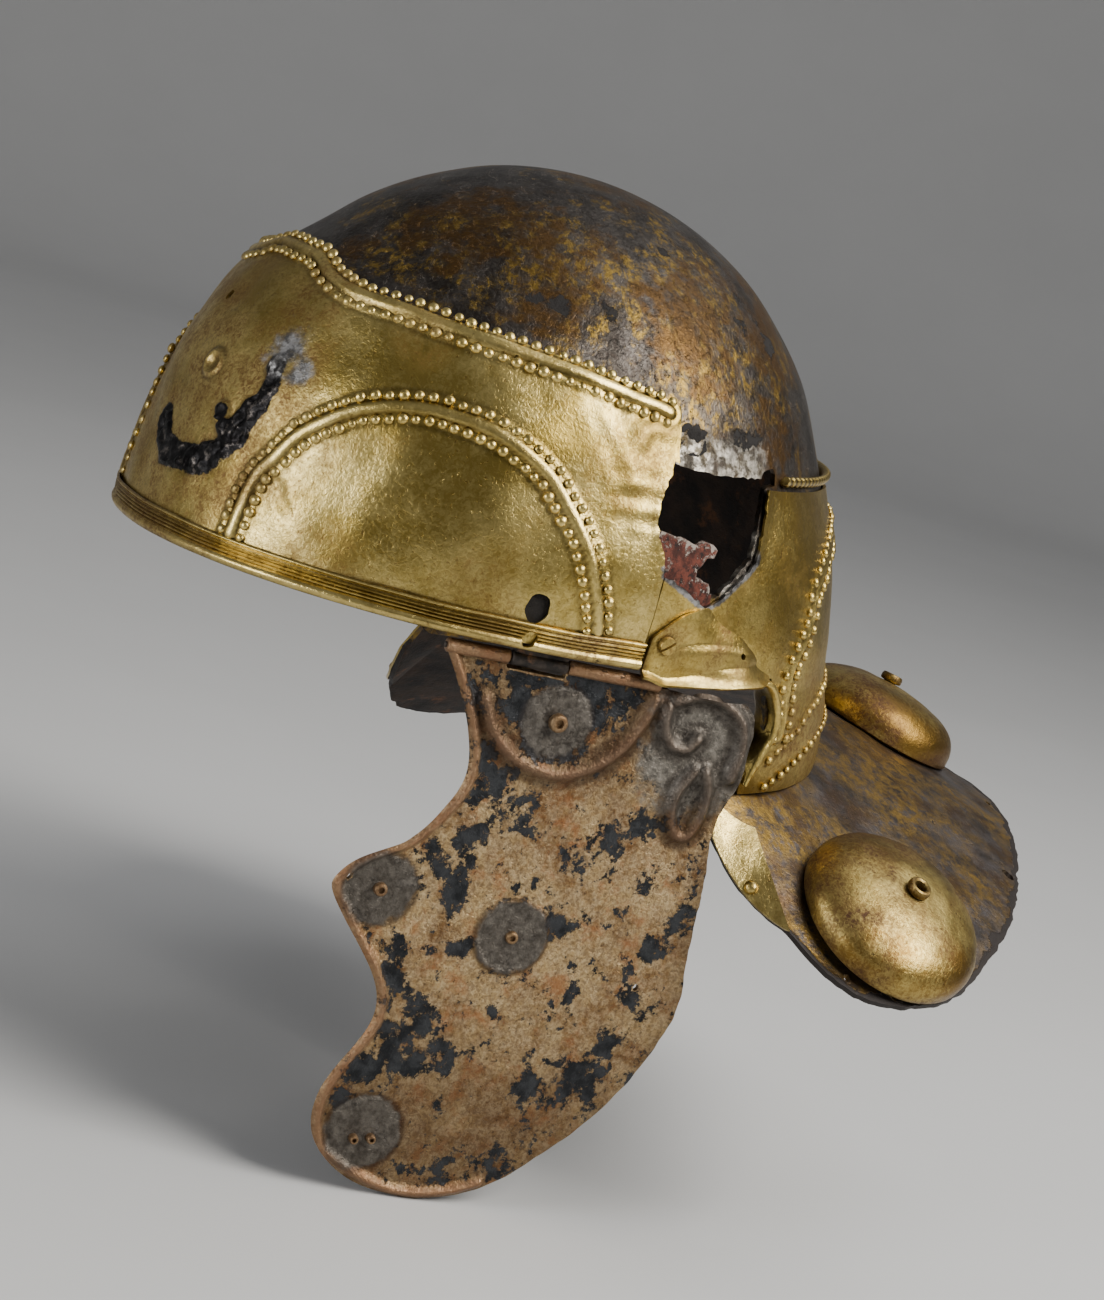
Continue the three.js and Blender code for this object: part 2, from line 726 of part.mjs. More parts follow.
// Hollow boss on the guard, and the stud through its middle
function bossFrame(turn, reach) {
  const axis = normalAt(guard, turn, reach);
  const foot = guard(turn, reach).addScaledVector(axis, GAP + 0.1);
  return { axis, foot };
}

function makeBoss(turn, reach) {
  const { axis, foot } = bossFrame(turn, reach);
  foot.addScaledVector(axis, BOSS_LIFT);
  const crown = BOSS_HEIGHT - BOSS_SKIRT;
  const bowl = (t, wall) => [
    (BOSS_RADIUS - wall) * Math.cos(rad(t)),
    BOSS_SKIRT + (crown - wall) * Math.sin(rad(t)),
  ];
  const outer = range(0, 85, 4).map((t) => bowl(t, 0));
  const inner = range(85, 0, 4).map((t) => bowl(t, BOSS_WALL));
  const profile = [[BOSS_RADIUS, 0], ...outer, ...inner, [BOSS_RADIUS - BOSS_WALL, 0], [BOSS_RADIUS, 0]];
  return turned(profile, foot, axis, 20);
}

function makeBossStud(turn, reach) {
  const { axis, foot } = bossFrame(turn, reach);
  const under = BOSS_LIFT + BOSS_HEIGHT + GAP;
  const shank = [[0, 0], [STUD_SHANK_RADIUS, 0], [STUD_SHANK_RADIUS, under]];
  const head = [
    [STUD_HEAD_RADIUS, under],
    [STUD_HEAD_RADIUS, under + 1.6],
    [STUD_HEAD_RADIUS - 0.8, under + STUD_HEAD_HEIGHT - 0.2],
    [0, under + STUD_HEAD_HEIGHT],
  ];
  return turned([...shank, ...head], foot, axis, 10);
}

// Ear guard: a plate on the sheath with its lower edge curled out
const LIP_FRONT_Z = -134.4;
const LIP_REAR_Z = -129.6;
const CURL_START_Z = -126;
const CURL_HEIGHT = 8.4;
const CURL_REACH = 5;

function makeEarGuard() {
  const surface = (angle, share) => {
    const lip = THREE.MathUtils.mapLinear(angle, EAR_TOP[0].angle, EAR_END, LIP_FRONT_Z, LIP_REAR_Z);
    const high = curveThrough(EAR_TOP, "angle", "z", angle);
    const z = THREE.MathUtils.lerp(lip, high, share);
    const curl = Math.max(CURL_START_Z - z, 0) / CURL_HEIGHT;
    const away = 1 - 0.75 * smoothStep((angle - 104) / 8);
    return cover(angle, z, GAP + SHEET + FACET_ROOM + CURL_REACH * curl * curl * away);
  };
  const place = (i, j) => [EAR_COLUMNS[i], j / (EAR_ROWS - 1)];
  const normal = (i, j) => {
    const [angle, share] = place(i, j);
    const du = surface(angle + 0.05, share).sub(surface(angle - 0.05, share));
    const dv = surface(angle, share + 0.02).sub(surface(angle, share - 0.02));
    return du.cross(dv).normalize();
  };
  return sheet(EAR_COLUMNS.length, EAR_ROWS, (i, j) => surface(...place(i, j)), normal, SHEET);
}

function makeEarScrew() {
  const foot = cover(EAR_SCREW.angle, EAR_SCREW.z, GAP * 2 + SHEET + GAP);
  const out = normalAt(cover, EAR_SCREW.angle, EAR_SCREW.z);
  return turned([[0, 0], [2.6, 0], [2.6, 0.9], [1.6, 1.5], [0, 1.6]], foot, out, 12);
}

// Hinge knuckle on the helmet: a tube with a leaf that rises inside the skull
function makeHingeLeaf() {
  const endRoom = 0.4;
  const from = cheek(KNUCKLE_START + endRoom, 0);
  const to = cheek(KNUCKLE_END - endRoom, 0);
  const tube = rod(from, to, TUBE_RADIUS, PIN_RADIUS + GAP);
  const rings = [KNUCKLE_START + 2 * endRoom, KNUCKLE_END - 2 * endRoom].map((along) => {
    const corner = (depth, out) => cheek(along, depth).addScaledVector(cheekOut, out);
    const foot = -LEAF_WALL;
    const top = -LEAF_RISE;
    const lean = -0.2;
    return [corner(foot, 0), corner(foot, LEAF_WALL), corner(top, LEAF_WALL + lean), corner(top, lean)];
  });
  return join(tube, strip(rings));
}

function makePin() {
  return rod(cheek(-0.6, 0), cheek(HINGE_LENGTH + 0.6, 0), PIN_RADIUS, 0, 8);
}

// Cheek piece: plate, hinge tubes, rolled border and raised work
const CHEEK_OUT_FACE = -0.2;

function cheekFace(along, depth) {
  return cheek(along, depth, CHEEK_OUT_FACE);
}

function cheekRib(path, radius) {
  const bead = [0, 72, 144, 216, 288].map((t) => ({
    across: radius * Math.cos(rad(t)),
    out: radius * Math.sin(rad(t)),
  }));
  return rib(cheekFace, path, bead);
}

// A raised curl, given by its middle on the plate, its two half-widths and its sweep
function cheekCurl(along, depth, wide, high, from, to, steps) {
  const turns = range(from, to, steps);
  const path = turns.map((t) => [along + wide * Math.cos(rad(t)), depth - high * Math.sin(rad(t))]);
  return cheekRib(path, CHEEK_CURL_RADIUS);
}

// A solder disc with its stud, standing on the plate
function cheekDisc(along, depth, radius, studRadius) {
  const out = normalAt(cheekFace, along, depth).negate();
  const foot = cheekFace(along, depth).addScaledVector(out, -DISC_SUNK);
  const disc = [[0, 0], [radius, 0], [radius, DISC_TOP - 0.1], [studRadius, DISC_TOP + 0.1]];
  return turned([...disc, [studRadius, DISC_STUD_TOP], [0, DISC_STUD_TOP]], foot, out, 14);
}

function makeCheekPiece() {
  const depths = [1, 9, 17, 24, 31, 38, 46, 53, 60, 67.5, 73, 78, 84, 92, 100, 108, 117, 128, 139, 149];
  depths.push(157, 164, 169, 172.5, CHEEK_LENGTH);
  const shares = range(0, 1, 3);
  const place = (i, j) => {
    const front = curveThrough(CHEEK_FRONT, "depth", "along", depths[j]);
    const rear = curveThrough(CHEEK_REAR, "depth", "along", depths[j]);
    return [THREE.MathUtils.lerp(front, rear, shares[i]), depths[j]];
  };
  const normal = (i, j) => normalAt(cheekFace, ...place(i, j)).negate();
  const plate = sheet(shares.length, depths.length, (i, j) => cheekFace(...place(i, j)), normal, CHEEK_WALL);
  const tubes = [
    rod(cheek(0, 0), cheek(KNUCKLE_START, 0), TUBE_RADIUS, 0, 5),
    rod(cheek(KNUCKLE_END, 0), cheek(HINGE_LENGTH, 0), TUBE_RADIUS, 0, 5),
  ];
  const inset = CHEEK_BORDER_RADIUS - 0.2;
  const edge = depths.slice(1).map((depth) => {
    const along = curveThrough(CHEEK_FRONT, "depth", "along", depth) + inset;
    return [along, Math.min(depth, CHEEK_LENGTH - inset)];
  });
  const raised = [
    cheekRib(edge, CHEEK_BORDER_RADIUS),
    cheekCurl(43, 4.5, 27, 27.5, 192, 348, 8),
    cheekCurl(87, 10, 12, 8, 200, -60, 7),
    cheekCurl(91, 34, 6, 10, 60, 240, 5),
    ...CHEEK_DISCS.map((disc) => cheekDisc(disc.along, disc.depth, disc.radius, disc.stud)),
  ];
  const room = rod(cheek(KNUCKLE_START, 0), cheek(KNUCKLE_END, 0), TUBE_RADIUS + 1.4, 0, 5);
  const bore = rod(cheek(-2, 0), cheek(HINGE_LENGTH + 2, 0), PIN_RADIUS + GAP, 0, 4);
  const holes = CHEEK_HOLES.map(({ along, depth, radius }) => {
    return rod(cheek(along, depth, -9), cheek(along, depth, 6), radius, 0, 3);
  });
  return cut(join(plate, ...tubes, ...raised), room, bore, ...holes);
}

// Materials
const iron = { color: 0x6f6a62, roughness: 0.55, metalness: 0.7 };
const brass = { color: 0xa08a3c, roughness: 0.35, metalness: 0.9 };
const copper = { color: 0x8a5a3c, roughness: 0.6, metalness: 0.6 };

function piece(name, geometry, look) {
  const bare = geometry.clone();
  bare.computeVertexNormals();
  const mesh = new THREE.Mesh(bare, new THREE.MeshStandardMaterial({ ...look, flatShading: true }));
  mesh.name = name;
  return mesh;
}

const bosses = [
  { place: "left", turn: BOSS_ANGLE, reach: BOSS_REACH },
  { place: "back", turn: 0, reach: BACK_BOSS_REACH },
  { place: "right", turn: -BOSS_ANGLE, reach: BOSS_REACH },
];
const helmet = new THREE.Group();
helmet.add(piece("skull", makeSkull(), iron));
helmet.add(piece("brow_band", makeBrowBand(), brass));
helmet.add(piece("rim_binding", makeRimBinding(), brass));
helmet.add(piece("rear_ring", makeRearRing(), brass));
helmet.add(piece("neck_sheath", makeNeckSheath(), brass));
helmet.add(piece("neck_guard", makeNeckGuard(), iron));
const guardEdge = makeGuardEdge();
helmet.add(piece("guard_edge_left", guardEdge, brass));
helmet.add(piece("guard_edge_right", mirrored(guardEdge), brass));
for (const boss of bosses) {
  helmet.add(piece(`guard_boss_${boss.place}`, makeBoss(boss.turn, boss.reach), brass));
  helmet.add(piece(`boss_stud_${boss.place}`, makeBossStud(boss.turn, boss.reach), brass));
}
const earGuard = makeEarGuard();
const earScrew = makeEarScrew();
helmet.add(piece("ear_guard_left", earGuard, brass));
helmet.add(piece("ear_guard_right", mirrored(earGuard), brass));
helmet.add(piece("ear_screw_left", earScrew, brass));
helmet.add(piece("ear_screw_right", mirrored(earScrew), brass));
helmet.add(piece("cheek_hinge_leaf", makeHingeLeaf(), iron));
helmet.add(piece("cheek_pin", makePin(), iron));

helmet.add(piece("cheek_piece", makeCheekPiece(), copper));

export default helmet;
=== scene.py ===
# Roman helmet with one cheek piece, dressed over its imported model.
# Sizes are in millimetres; MM turns them into Blender's metres. The wearer faces -Y and the left is +X.
import bpy
import numpy as np
from mathutils import Matrix, Vector, kdtree


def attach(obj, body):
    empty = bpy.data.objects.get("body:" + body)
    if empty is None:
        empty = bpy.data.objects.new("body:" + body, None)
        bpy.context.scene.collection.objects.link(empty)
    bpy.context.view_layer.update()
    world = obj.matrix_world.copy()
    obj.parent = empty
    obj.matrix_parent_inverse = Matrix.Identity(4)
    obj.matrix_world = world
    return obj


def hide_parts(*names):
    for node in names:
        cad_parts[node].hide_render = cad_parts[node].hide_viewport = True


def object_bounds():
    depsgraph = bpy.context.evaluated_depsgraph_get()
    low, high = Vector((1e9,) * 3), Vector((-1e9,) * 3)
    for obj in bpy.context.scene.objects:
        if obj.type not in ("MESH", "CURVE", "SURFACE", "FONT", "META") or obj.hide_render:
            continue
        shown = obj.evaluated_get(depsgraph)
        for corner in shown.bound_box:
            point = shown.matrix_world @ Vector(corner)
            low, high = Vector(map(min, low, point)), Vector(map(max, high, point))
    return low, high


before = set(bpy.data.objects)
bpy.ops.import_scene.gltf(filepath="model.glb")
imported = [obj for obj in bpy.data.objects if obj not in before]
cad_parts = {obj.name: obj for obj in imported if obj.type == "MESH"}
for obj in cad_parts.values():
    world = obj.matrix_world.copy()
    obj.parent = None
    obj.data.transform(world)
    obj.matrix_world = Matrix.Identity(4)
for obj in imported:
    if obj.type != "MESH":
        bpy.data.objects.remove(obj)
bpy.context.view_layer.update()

# Camera
# It stands a little over a metre away, before the wearer's left, at the height of the crown,
# and is rolled to the side, so the helmet leans in the picture as it does in the photograph.
MM = 0.001
view_turn = np.radians(55.16)
view_rise = np.radians(10.21)
view_roll = np.radians(15.25)
view_length = 1.06835
view_aim = Vector((0.00643, 0.03196, -0.14936))
away = Vector((
    np.sin(view_turn) * np.cos(view_rise),
    -np.cos(view_turn) * np.cos(view_rise),
    np.sin(view_rise),
))
level = (-away).cross(Vector((0, 0, 1))).normalized()
upright = level.cross(-away)
side = level * np.cos(view_roll) + upright * np.sin(view_roll)
top = upright * np.cos(view_roll) - level * np.sin(view_roll)
bpy.ops.object.camera_add()
camera = bpy.context.object
camera_turn = Matrix((side, top, away)).transposed().to_4x4()
camera.matrix_world = Matrix.Translation(view_aim + away * view_length) @ camera_turn
camera.data.sensor_fit = "VERTICAL"
camera.data.sensor_height = 36
camera.data.lens = 90.41
bpy.context.scene.camera = camera

# Skull
# An iron cap raised from one sheet, two millimetres thick and tinned outside. Its dome shows above
# the brow band and the rear ring, and its rusted wall shows in the torn hole at the left rear.
COVER_LEVELS = [  # height, how far the cover stands out at the side, in front and behind, its bluntness
    (-168, 18.4, 17, 35.5, 2.6),
    (-150, 10.4, 17, 23, 2.6),
    (-142, 8, 17, 17.7, 2.6),
    (-131, 5.8, 17, 10, 2.55),
    (-100, 3.5, 11, 2.3, 2.3),
    (-70, 2, 10, 1.4, 2),
    (-40, 1.6, 7.5, 1.4, 2),
    (-20, 1.4, 5, 1.4, 2),
]
STAND_OFF = [  # height, how far the skull lies inside its cover in front
    (-168, 1.4), (-85, 1.4), (-70, 1.7), (-40, 3.6), (-20, 5),
]
BAND_TOP = [  # angle from the front, height
    (0, -36), (6, -36), (16, -40), (27, -43.4), (52, -45.4), (68, -47.4), (83, -50.3), (88, -53),
]
BAND_END = 89
BAND_FOOT = -129.1
DOME_CENTRE = -105.2
DOME_RISE = 107.2
DOME_BESIDE = 97
DOME_BEFORE = 106.8
NECK_AXIS = 50  # how far behind the crown the neck guard has its middle
CREASE_BACK = -147
CREASE_DROP = 21
SKULL_WALL = 2
LEFT_WALL = 60  # what lies further left than this is the left wall
SKULL_TEAR = [  # seen from the left: how far back, height
    (-3.4, -69.5), (12.8, -70.5), (34, -69.8), (35.4, -67.6), (40.6, -66.8), (42, -68.4),
    (41.4, -71.2), (36.2, -72.4), (34.8, -79), (32.2, -93.2), (28.4, -97.2), (21.2, -105.2),
    (18, -105.5), (16.5, -102.5), (11.4, -101), (11.6, -98.4), (14, -95), (16.5, -94.8),
    (17.8, -92.3), (15.6, -90.3), (12, -90), (9.4, -91.6), (5.6, -90.6), (0.5, -90), (-4, -89),
    (-7.4, -90.2), (-7.6, -80.8),
]


def smooth(share):
    """Rises from 0 to 1 with no kink at its ends."""
    share = np.clip(share, 0, 1)
    return share * share * (3 - 2 * share)


def curve(rows, column, at):
    """Smooth curve through one column of a table, whose first column is the place."""
    keys = np.array([row[0] for row in rows], float)
    values = np.array([row[column] for row in rows], float)
    slopes = np.empty_like(values)
    slopes[1:-1] = (values[2:] - values[:-2]) / (keys[2:] - keys[:-2])
    slopes[0] = (values[1] - values[0]) / (keys[1] - keys[0])
    slopes[-1] = (values[-1] - values[-2]) / (keys[-1] - keys[-2])
    at = np.clip(at, keys[0], keys[-1])
    i = np.clip(np.searchsorted(keys, at, side="right") - 1, 0, len(keys) - 2)
    step = keys[i + 1] - keys[i]
    t = (at - keys[i]) / step
    start = (t ** 3 - 2 * t * t + t) * step * slopes[i]
    end = (t ** 3 - t * t) * step * slopes[i + 1]
    return values[i] + (values[i + 1] - values[i]) * t * t * (3 - 2 * t) + start + end


def on_section(angle, z, beside, before, behind, blunt):
    """A point at an angle from the front, on a level whose half-widths are given."""
    s = np.sin(np.radians(angle))
    c = np.cos(np.radians(angle))
    power = np.where(c >= 0, 1, 2 / blunt)
    x = beside * np.sign(s) * np.abs(s) ** power
    y = np.where(c >= 0, -before * c, behind * np.abs(c) ** power)
    return np.stack([x, y, z + 0 * x], -1)


def dome(angle, z):
    shrink = np.sqrt(np.clip(1 - ((z - DOME_CENTRE) / DOME_RISE) ** 2, 0, 1))
    before = DOME_BEFORE * shrink
    return on_section(angle, z, DOME_BESIDE * shrink, before, before, 2)


def cover(angle, z):
    """The outer face of the brow band and the neck sheath."""
    shrink = np.sqrt(np.clip(1 - ((z - DOME_CENTRE) / DOME_RISE) ** 2, 0, 1))
    beside = DOME_BESIDE * shrink + curve(COVER_LEVELS, 1, z)
    before = DOME_BEFORE * shrink + curve(COVER_LEVELS, 2, z)
    behind = DOME_BEFORE * shrink + curve(COVER_LEVELS, 3, z)
    return on_section(angle, z, beside, before, behind, curve(COVER_LEVELS, 4, z))


def facing(surface, u, v):
    """The way out of a surface at each point."""
    step = 0.05
    du = surface(u + step, v) - surface(u - step, v)
    dv = surface(u, v + step) - surface(u, v - step)
    out = np.cross(du, dv)
    return out / np.linalg.norm(out, axis=-1, keepdims=True)


def place_on(surface, u, v):
    """One place on a surface, and the way out there."""
    u = np.array([float(u)])
    v = np.array([float(v)])
    return surface(u, v)[0], facing(surface, u, v)[0]


def skull_face(angle, z):
    """The skull lies just inside its cover, further in at the front; its crown is the plain dome."""
    before = np.clip(np.cos(np.radians(angle)), 0, 1) ** 2
    inside = 1.5 + (curve(STAND_OFF, 1, z) - 1.5) * before
    under = cover(angle, z) - facing(cover, angle, z) * inside[:, None]
    crown = smooth((z + 40) / 20)[:, None]
    return under + (dome(angle, z) - under) * crown


def junction_z(turn):
    """Height of the crease between neck and guard, by the turn from the back."""
    return CREASE_BACK - CREASE_DROP * smooth(np.abs(turn) / 85)


def lower_edge(angle):
    """Height of the lower edge: level round the brow, then down to the guard's crease."""
    apart = np.abs((angle + 180) % 360 - 180)
    foot = cover(apart, np.full_like(apart, -158.0))
    turn = np.degrees(np.arctan2(np.abs(foot[:, 0]), foot[:, 1] - NECK_AXIS))
    neck = junction_z(turn) + 1.5
    return BAND_FOOT + (neck - BAND_FOOT) * smooth((apart - 112) / 3.5)


def upper_edge(angle):
    """Height of the upper edge of the band in front and of the sheath behind."""
    apart = np.abs((angle + 180) % 360 - 180)
    return np.where(apart <= BAND_END, curve(BAND_TOP, 1, apart), -72.7)


def waves(points, size, seed):
    """Soft random swells of about that size, between about -1 and 1."""
    pick = np.random.default_rng(seed)
    ways = pick.normal(size=(14, 3))
    ways /= np.linalg.norm(ways, axis=1, keepdims=True) * size * pick.uniform(0.6, 1.7, (14, 1))
    phase = points @ ways.T * 2 * np.pi + pick.uniform(0, 2 * np.pi, 14)
    return np.sin(phase).sum(1) / 5


def points_of(piece):
    """The places of a piece's points."""
    places = np.empty(len(piece.data.vertices) * 3)
    piece.data.vertices.foreach_get("co", places)
    return places.reshape(-1, 3) / MM


def flat_grid(name, columns, rows):
    """A flat grid to be shaped, with each point's share across and up."""
    bpy.ops.object.select_all(action="DESELECT")
    bpy.ops.mesh.primitive_grid_add(x_subdivisions=columns, y_subdivisions=rows, size=2)
    piece = bpy.context.object
    piece.name = name
    piece.data.name = name
    shares = (points_of(piece) * MM + 1) / 2
    return piece, shares[:, 0], shares[:, 1]


def shape(piece, points):
    """Puts a piece's points where the given places are."""
    piece.data.vertices.foreach_set("co", (points * MM).ravel())
    piece.data.update()


def mark(piece, name, shares):
    """Keeps a share for each point, which the piece's finish reads."""
    layer = piece.data.attributes.get(name) or piece.data.attributes.new(name, "FLOAT", "POINT")
    layer.data.foreach_set("value", np.clip(shares, 0, 1).astype(np.float32))


def edit(piece, *steps):
    """Runs edit-mode steps on the whole of one piece."""
    bpy.ops.object.select_all(action="DESELECT")
    bpy.context.view_layer.objects.active = piece
    piece.select_set(True)
    bpy.ops.object.mode_set(mode="EDIT")
    bpy.ops.mesh.select_all(action="SELECT")
    for step in steps:
        step()
    bpy.ops.object.mode_set(mode="OBJECT")


def close_seam():
    bpy.ops.mesh.remove_doubles(threshold=0.00001)


def face_out():
    bpy.ops.mesh.normals_make_consistent(inside=False)


def apply_last(piece):
    bpy.context.view_layer.objects.active = piece
    bpy.ops.object.modifier_apply(modifier=piece.modifiers[-1].name)


def thicken(piece, wall):
    """Gives a sheet its wall, inwards; the inner face takes the piece's second finish."""
    solid = piece.modifiers.new("wall", "SOLIDIFY")
    solid.thickness = wall * MM
    solid.offset = -1
    solid.material_offset = 1
    apply_last(piece)


def soften(piece, angle=40):
    """Smooth shading, except over sharp corners."""
    bpy.ops.object.select_all(action="DESELECT")
    bpy.context.view_layer.objects.active = piece
    piece.select_set(True)
    bpy.ops.object.shade_smooth_by_angle(angle=np.radians(angle))


def ragged(outline, reach, seed):
    """A torn outline: short steps round the given corners, each a little out of place."""
    pick = np.random.default_rng(seed)
    corners = np.array(outline, float)
    torn = []
    for a, b in zip(corners, np.roll(corners, -1, 0)):
        steps = max(int(np.linalg.norm(b - a) / 1.6), 1)
        for i in range(steps):
            torn.append(a + (b - a) * i / steps + pick.uniform(-reach, reach, 2))
    return np.array(torn)


def prism(outline, low, high, turn=Matrix.Identity(4)):
    """A straight prism over an outline, to cut with."""
    bpy.ops.object.select_all(action="DESELECT")
    bpy.ops.mesh.primitive_circle_add(vertices=len(outline), radius=1, fill_type="NGON")
    piece = bpy.context.object
    shape(piece, np.column_stack([outline, np.full(len(outline), low)]))
    edit(
        piece,
        lambda: bpy.ops.mesh.extrude_region_move(TRANSFORM_OT_translate={"value": (0, 0, (high - low) * MM)}),
        lambda: bpy.ops.mesh.select_all(action="SELECT"),
        face_out,
    )
    piece.data.transform(turn)
    return piece


def cut_out(piece, cutter):
    """Takes the cutter's shape out of the piece."""
    if not cutter.data.materials and piece.data.materials:
        cutter.data.materials.append(piece.data.materials[0])
    cut = piece.modifiers.new("cut", "BOOLEAN")
    cut.operation = "DIFFERENCE"
    cut.solver = "MANIFOLD"
    cut.object = cutter
    apply_last(piece)
    bpy.data.objects.remove(cutter)


def tear_cutter(outline, reach):
    """A cutter for the torn hole, straight through the left wall."""
    from_the_left = Matrix(((0, 0, 1, 0), (1, 0, 0, 0), (0, 1, 0, 0), (0, 0, 0, 1)))
    return prism(ragged(outline, reach, 8), LEFT_WALL - 5, LEFT_WALL + 75, from_the_left)


def lay(tree, kind, sockets=None, **settings):
    """Adds a node; each socket named is set to a value or joined to another node's output."""
    node = tree.nodes.new("ShaderNode" + kind)
    for name, value in settings.items():
        setattr(node, name, value)
    for name, value in (sockets or {}).items():
        if isinstance(value, bpy.types.NodeSocket):
            tree.links.new(value, node.inputs[name])
        else:
            node.inputs[name].default_value = value
    return node


def tint(tree, share, below, above):
    """The colour above over the colour below, by a share."""
    below = below if isinstance(below, bpy.types.NodeSocket) else (*below, 1)
    above = above if isinstance(above, bpy.types.NodeSocket) else (*above, 1)
    return lay(tree, "Mix", {0: share, 6: below, 7: above}, data_type="RGBA").outputs[2]


def sum_of(tree, how, a, b, clamp=False):
    return lay(tree, "Math", {0: a, 1: b}, operation=how, use_clamp=clamp).outputs[0]


def part(tree, share, strength):
    return sum_of(tree, "MULTIPLY", share, strength)


def most(tree, a, b):
    return sum_of(tree, "MAXIMUM", a, b)


def rest_of(tree, share):
    return sum_of(tree, "SUBTRACT", 1.0, share)


def raised_by(tree, base, share, gain):
    """A plain value, raised by its gain where the share is full."""
    made = sum_of(tree, "MULTIPLY_ADD", share, gain)
    made.node.inputs[2].default_value = base
    return made


def wash(tree, colour, share, strength, over):
    """A thin coat of another colour over a share of the surface."""
    return tint(tree, part(tree, share, strength), colour, over)


def between(tree, value, low, high):
    """A value's place between two others, from 0 to 1 with soft ends."""
    sockets = {"Value": value, "From Min": low, "From Max": high}
    return lay(tree, "MapRange", sockets, interpolation_type="SMOOTHSTEP").outputs[0]


def kept(tree, name):
    """A share that was kept on the mesh."""
    return lay(tree, "Attribute", attribute_name=name).outputs["Fac"]


def effect(name, inputs, outputs):
    """An empty node group with its sockets."""
    tree = bpy.data.node_groups.new(name, "ShaderNodeTree")
    for socket, value in inputs.items():
        made = tree.interface.new_socket(socket, in_out="INPUT", socket_type="NodeSocketFloat")
        made.default_value = value
    for socket in outputs:
        tree.interface.new_socket(socket, in_out="OUTPUT", socket_type="NodeSocketFloat")
    return tree, tree.nodes.new("NodeGroupInput").outputs, tree.nodes.new("NodeGroupOutput").inputs


# Patches of tarnish, rust or worn film, of a size in millimetres, over a share of the surface
patch_values = {"Size": 20, "Share": 0.5, "Edge": 0.1, "Place": 0, "Grain": 0.6}
patches, given, made = effect("patches", patch_values, ["Mask"])
seat = lay(patches, "TexCoord").outputs["Object"]
shift = lay(patches, "CombineXYZ", {0: given["Place"], 1: given["Place"], 2: given["Place"]}).outputs[0]
seat = lay(patches, "VectorMath", {0: seat, 1: shift}, operation="ADD").outputs[0]
often = sum_of(patches, "DIVIDE", 1000.0, given["Size"])
field = lay(patches, "TexNoise", {"Vector": seat, "Scale": often, "Detail": 7.0, "Roughness": given["Grain"]})
limit = sum_of(patches, "MULTIPLY_ADD", given["Share"], -0.5)
limit.node.inputs[2].default_value = 0.75
low = sum_of(patches, "SUBTRACT", limit, given["Edge"])
high = sum_of(patches, "ADD", limit, given["Edge"])
patches.links.new(between(patches, field.outputs[0], low, high), made["Mask"])

# A broken edge for a share kept on the mesh: flakes and bites of a size, reaching in and out of it
broken_values = {"Field": 0.5, "Size": 4, "Reach": 0.8, "Edge": 0.05}
broken, given, made = effect("broken_edge", broken_values, ["Mask"])
seat = lay(broken, "TexCoord").outputs["Object"]
often = sum_of(broken, "DIVIDE", 1000.0, given["Size"])
bites = lay(broken, "TexNoise", {"Vector": seat, "Scale": often, "Detail": 10.0, "Roughness": 0.74})
bites = sum_of(broken, "MULTIPLY", sum_of(broken, "SUBTRACT", bites.outputs[0], 0.5), given["Reach"])
field = sum_of(broken, "ADD", given["Field"], bites)
low = sum_of(broken, "SUBTRACT", 0.5, given["Edge"])
high = sum_of(broken, "ADD", 0.5, given["Edge"])
broken.links.new(between(broken, field, low, high), made["Mask"])

# The skin of old beaten metal: low swells, with fine wrinkled pebbles in them
beaten, given, made = effect("beaten_skin", {"Swell": 6, "Pebble": 1.2, "Fine": 0.5}, ["Height", "Pebbles"])
seat = lay(beaten, "TexCoord").outputs["Object"]
often = sum_of(beaten, "DIVIDE", 1000.0, given["Swell"])
broad = lay(beaten, "TexNoise", {"Vector": seat, "Scale": often, "Detail": 2.0, "Roughness": 0.5})
often = sum_of(beaten, "DIVIDE", 1000.0, given["Pebble"])
small = lay(beaten, "TexNoise", {
    "Vector": seat, "Scale": often, "Detail": 3.0, "Roughness": 0.62, "Distortion": 0.7,
})
fine = sum_of(beaten, "MULTIPLY", small.outputs[0], given["Fine"])
beaten.links.new(sum_of(beaten, "ADD", broad.outputs[0], fine), made["Height"])
beaten.links.new(between(beaten, small.outputs[0], 0.36, 0.62), made["Pebbles"])


def use(tree, group, **sockets):
    """Places an effect in a finish, with its values."""
    node = tree.nodes.new("ShaderNodeGroup")
    node.node_tree = group
    for name, value in sockets.items():
        if isinstance(value, bpy.types.NodeSocket):
            tree.links.new(value, node.inputs[name])
        else:
            node.inputs[name].default_value = value
    return node.outputs[0]


def mottled(tree, below, above, **field):
    """Two colours in patches."""
    return tint(tree, use(tree, patches, **field), below, above)


def crumble(tree, name, size, reach=0.8, edge=0.05):
    """A share kept on the mesh, with a broken edge."""
    return use(tree, broken, Field=kept(tree, name), Size=size, Reach=reach, Edge=edge)


def skin_of(tree, swell, pebble, fine):
    """The beaten skin's height, and its pebbles as a share."""
    height = use(tree, beaten, Swell=swell, Pebble=pebble, Fine=fine)
    return height, height.node.outputs[1]


def start_finish(name):
    made = bpy.data.materials.new(name)
    made.use_nodes = True
    made.node_tree.nodes.clear()
    return made, made.node_tree


def end_finish(tree, colour, gloss, metal, height, depth, sheen=0.5):
    """Joins colour, roughness, metal and relief to the surface; depth is in millimetres."""
    bump = lay(tree, "Bump", {"Height": height, "Strength": 1.0, "Distance": depth * MM})
    shader = lay(tree, "BsdfPrincipled", {
        "Base Color": colour, "Roughness": gloss, "Metallic": metal, "Normal": bump.outputs[0],
        "Specular IOR Level": sheen,
    })
    end = tree.nodes.new("ShaderNodeOutputMaterial")
    tree.links.new(shader.outputs[0], end.inputs[0])


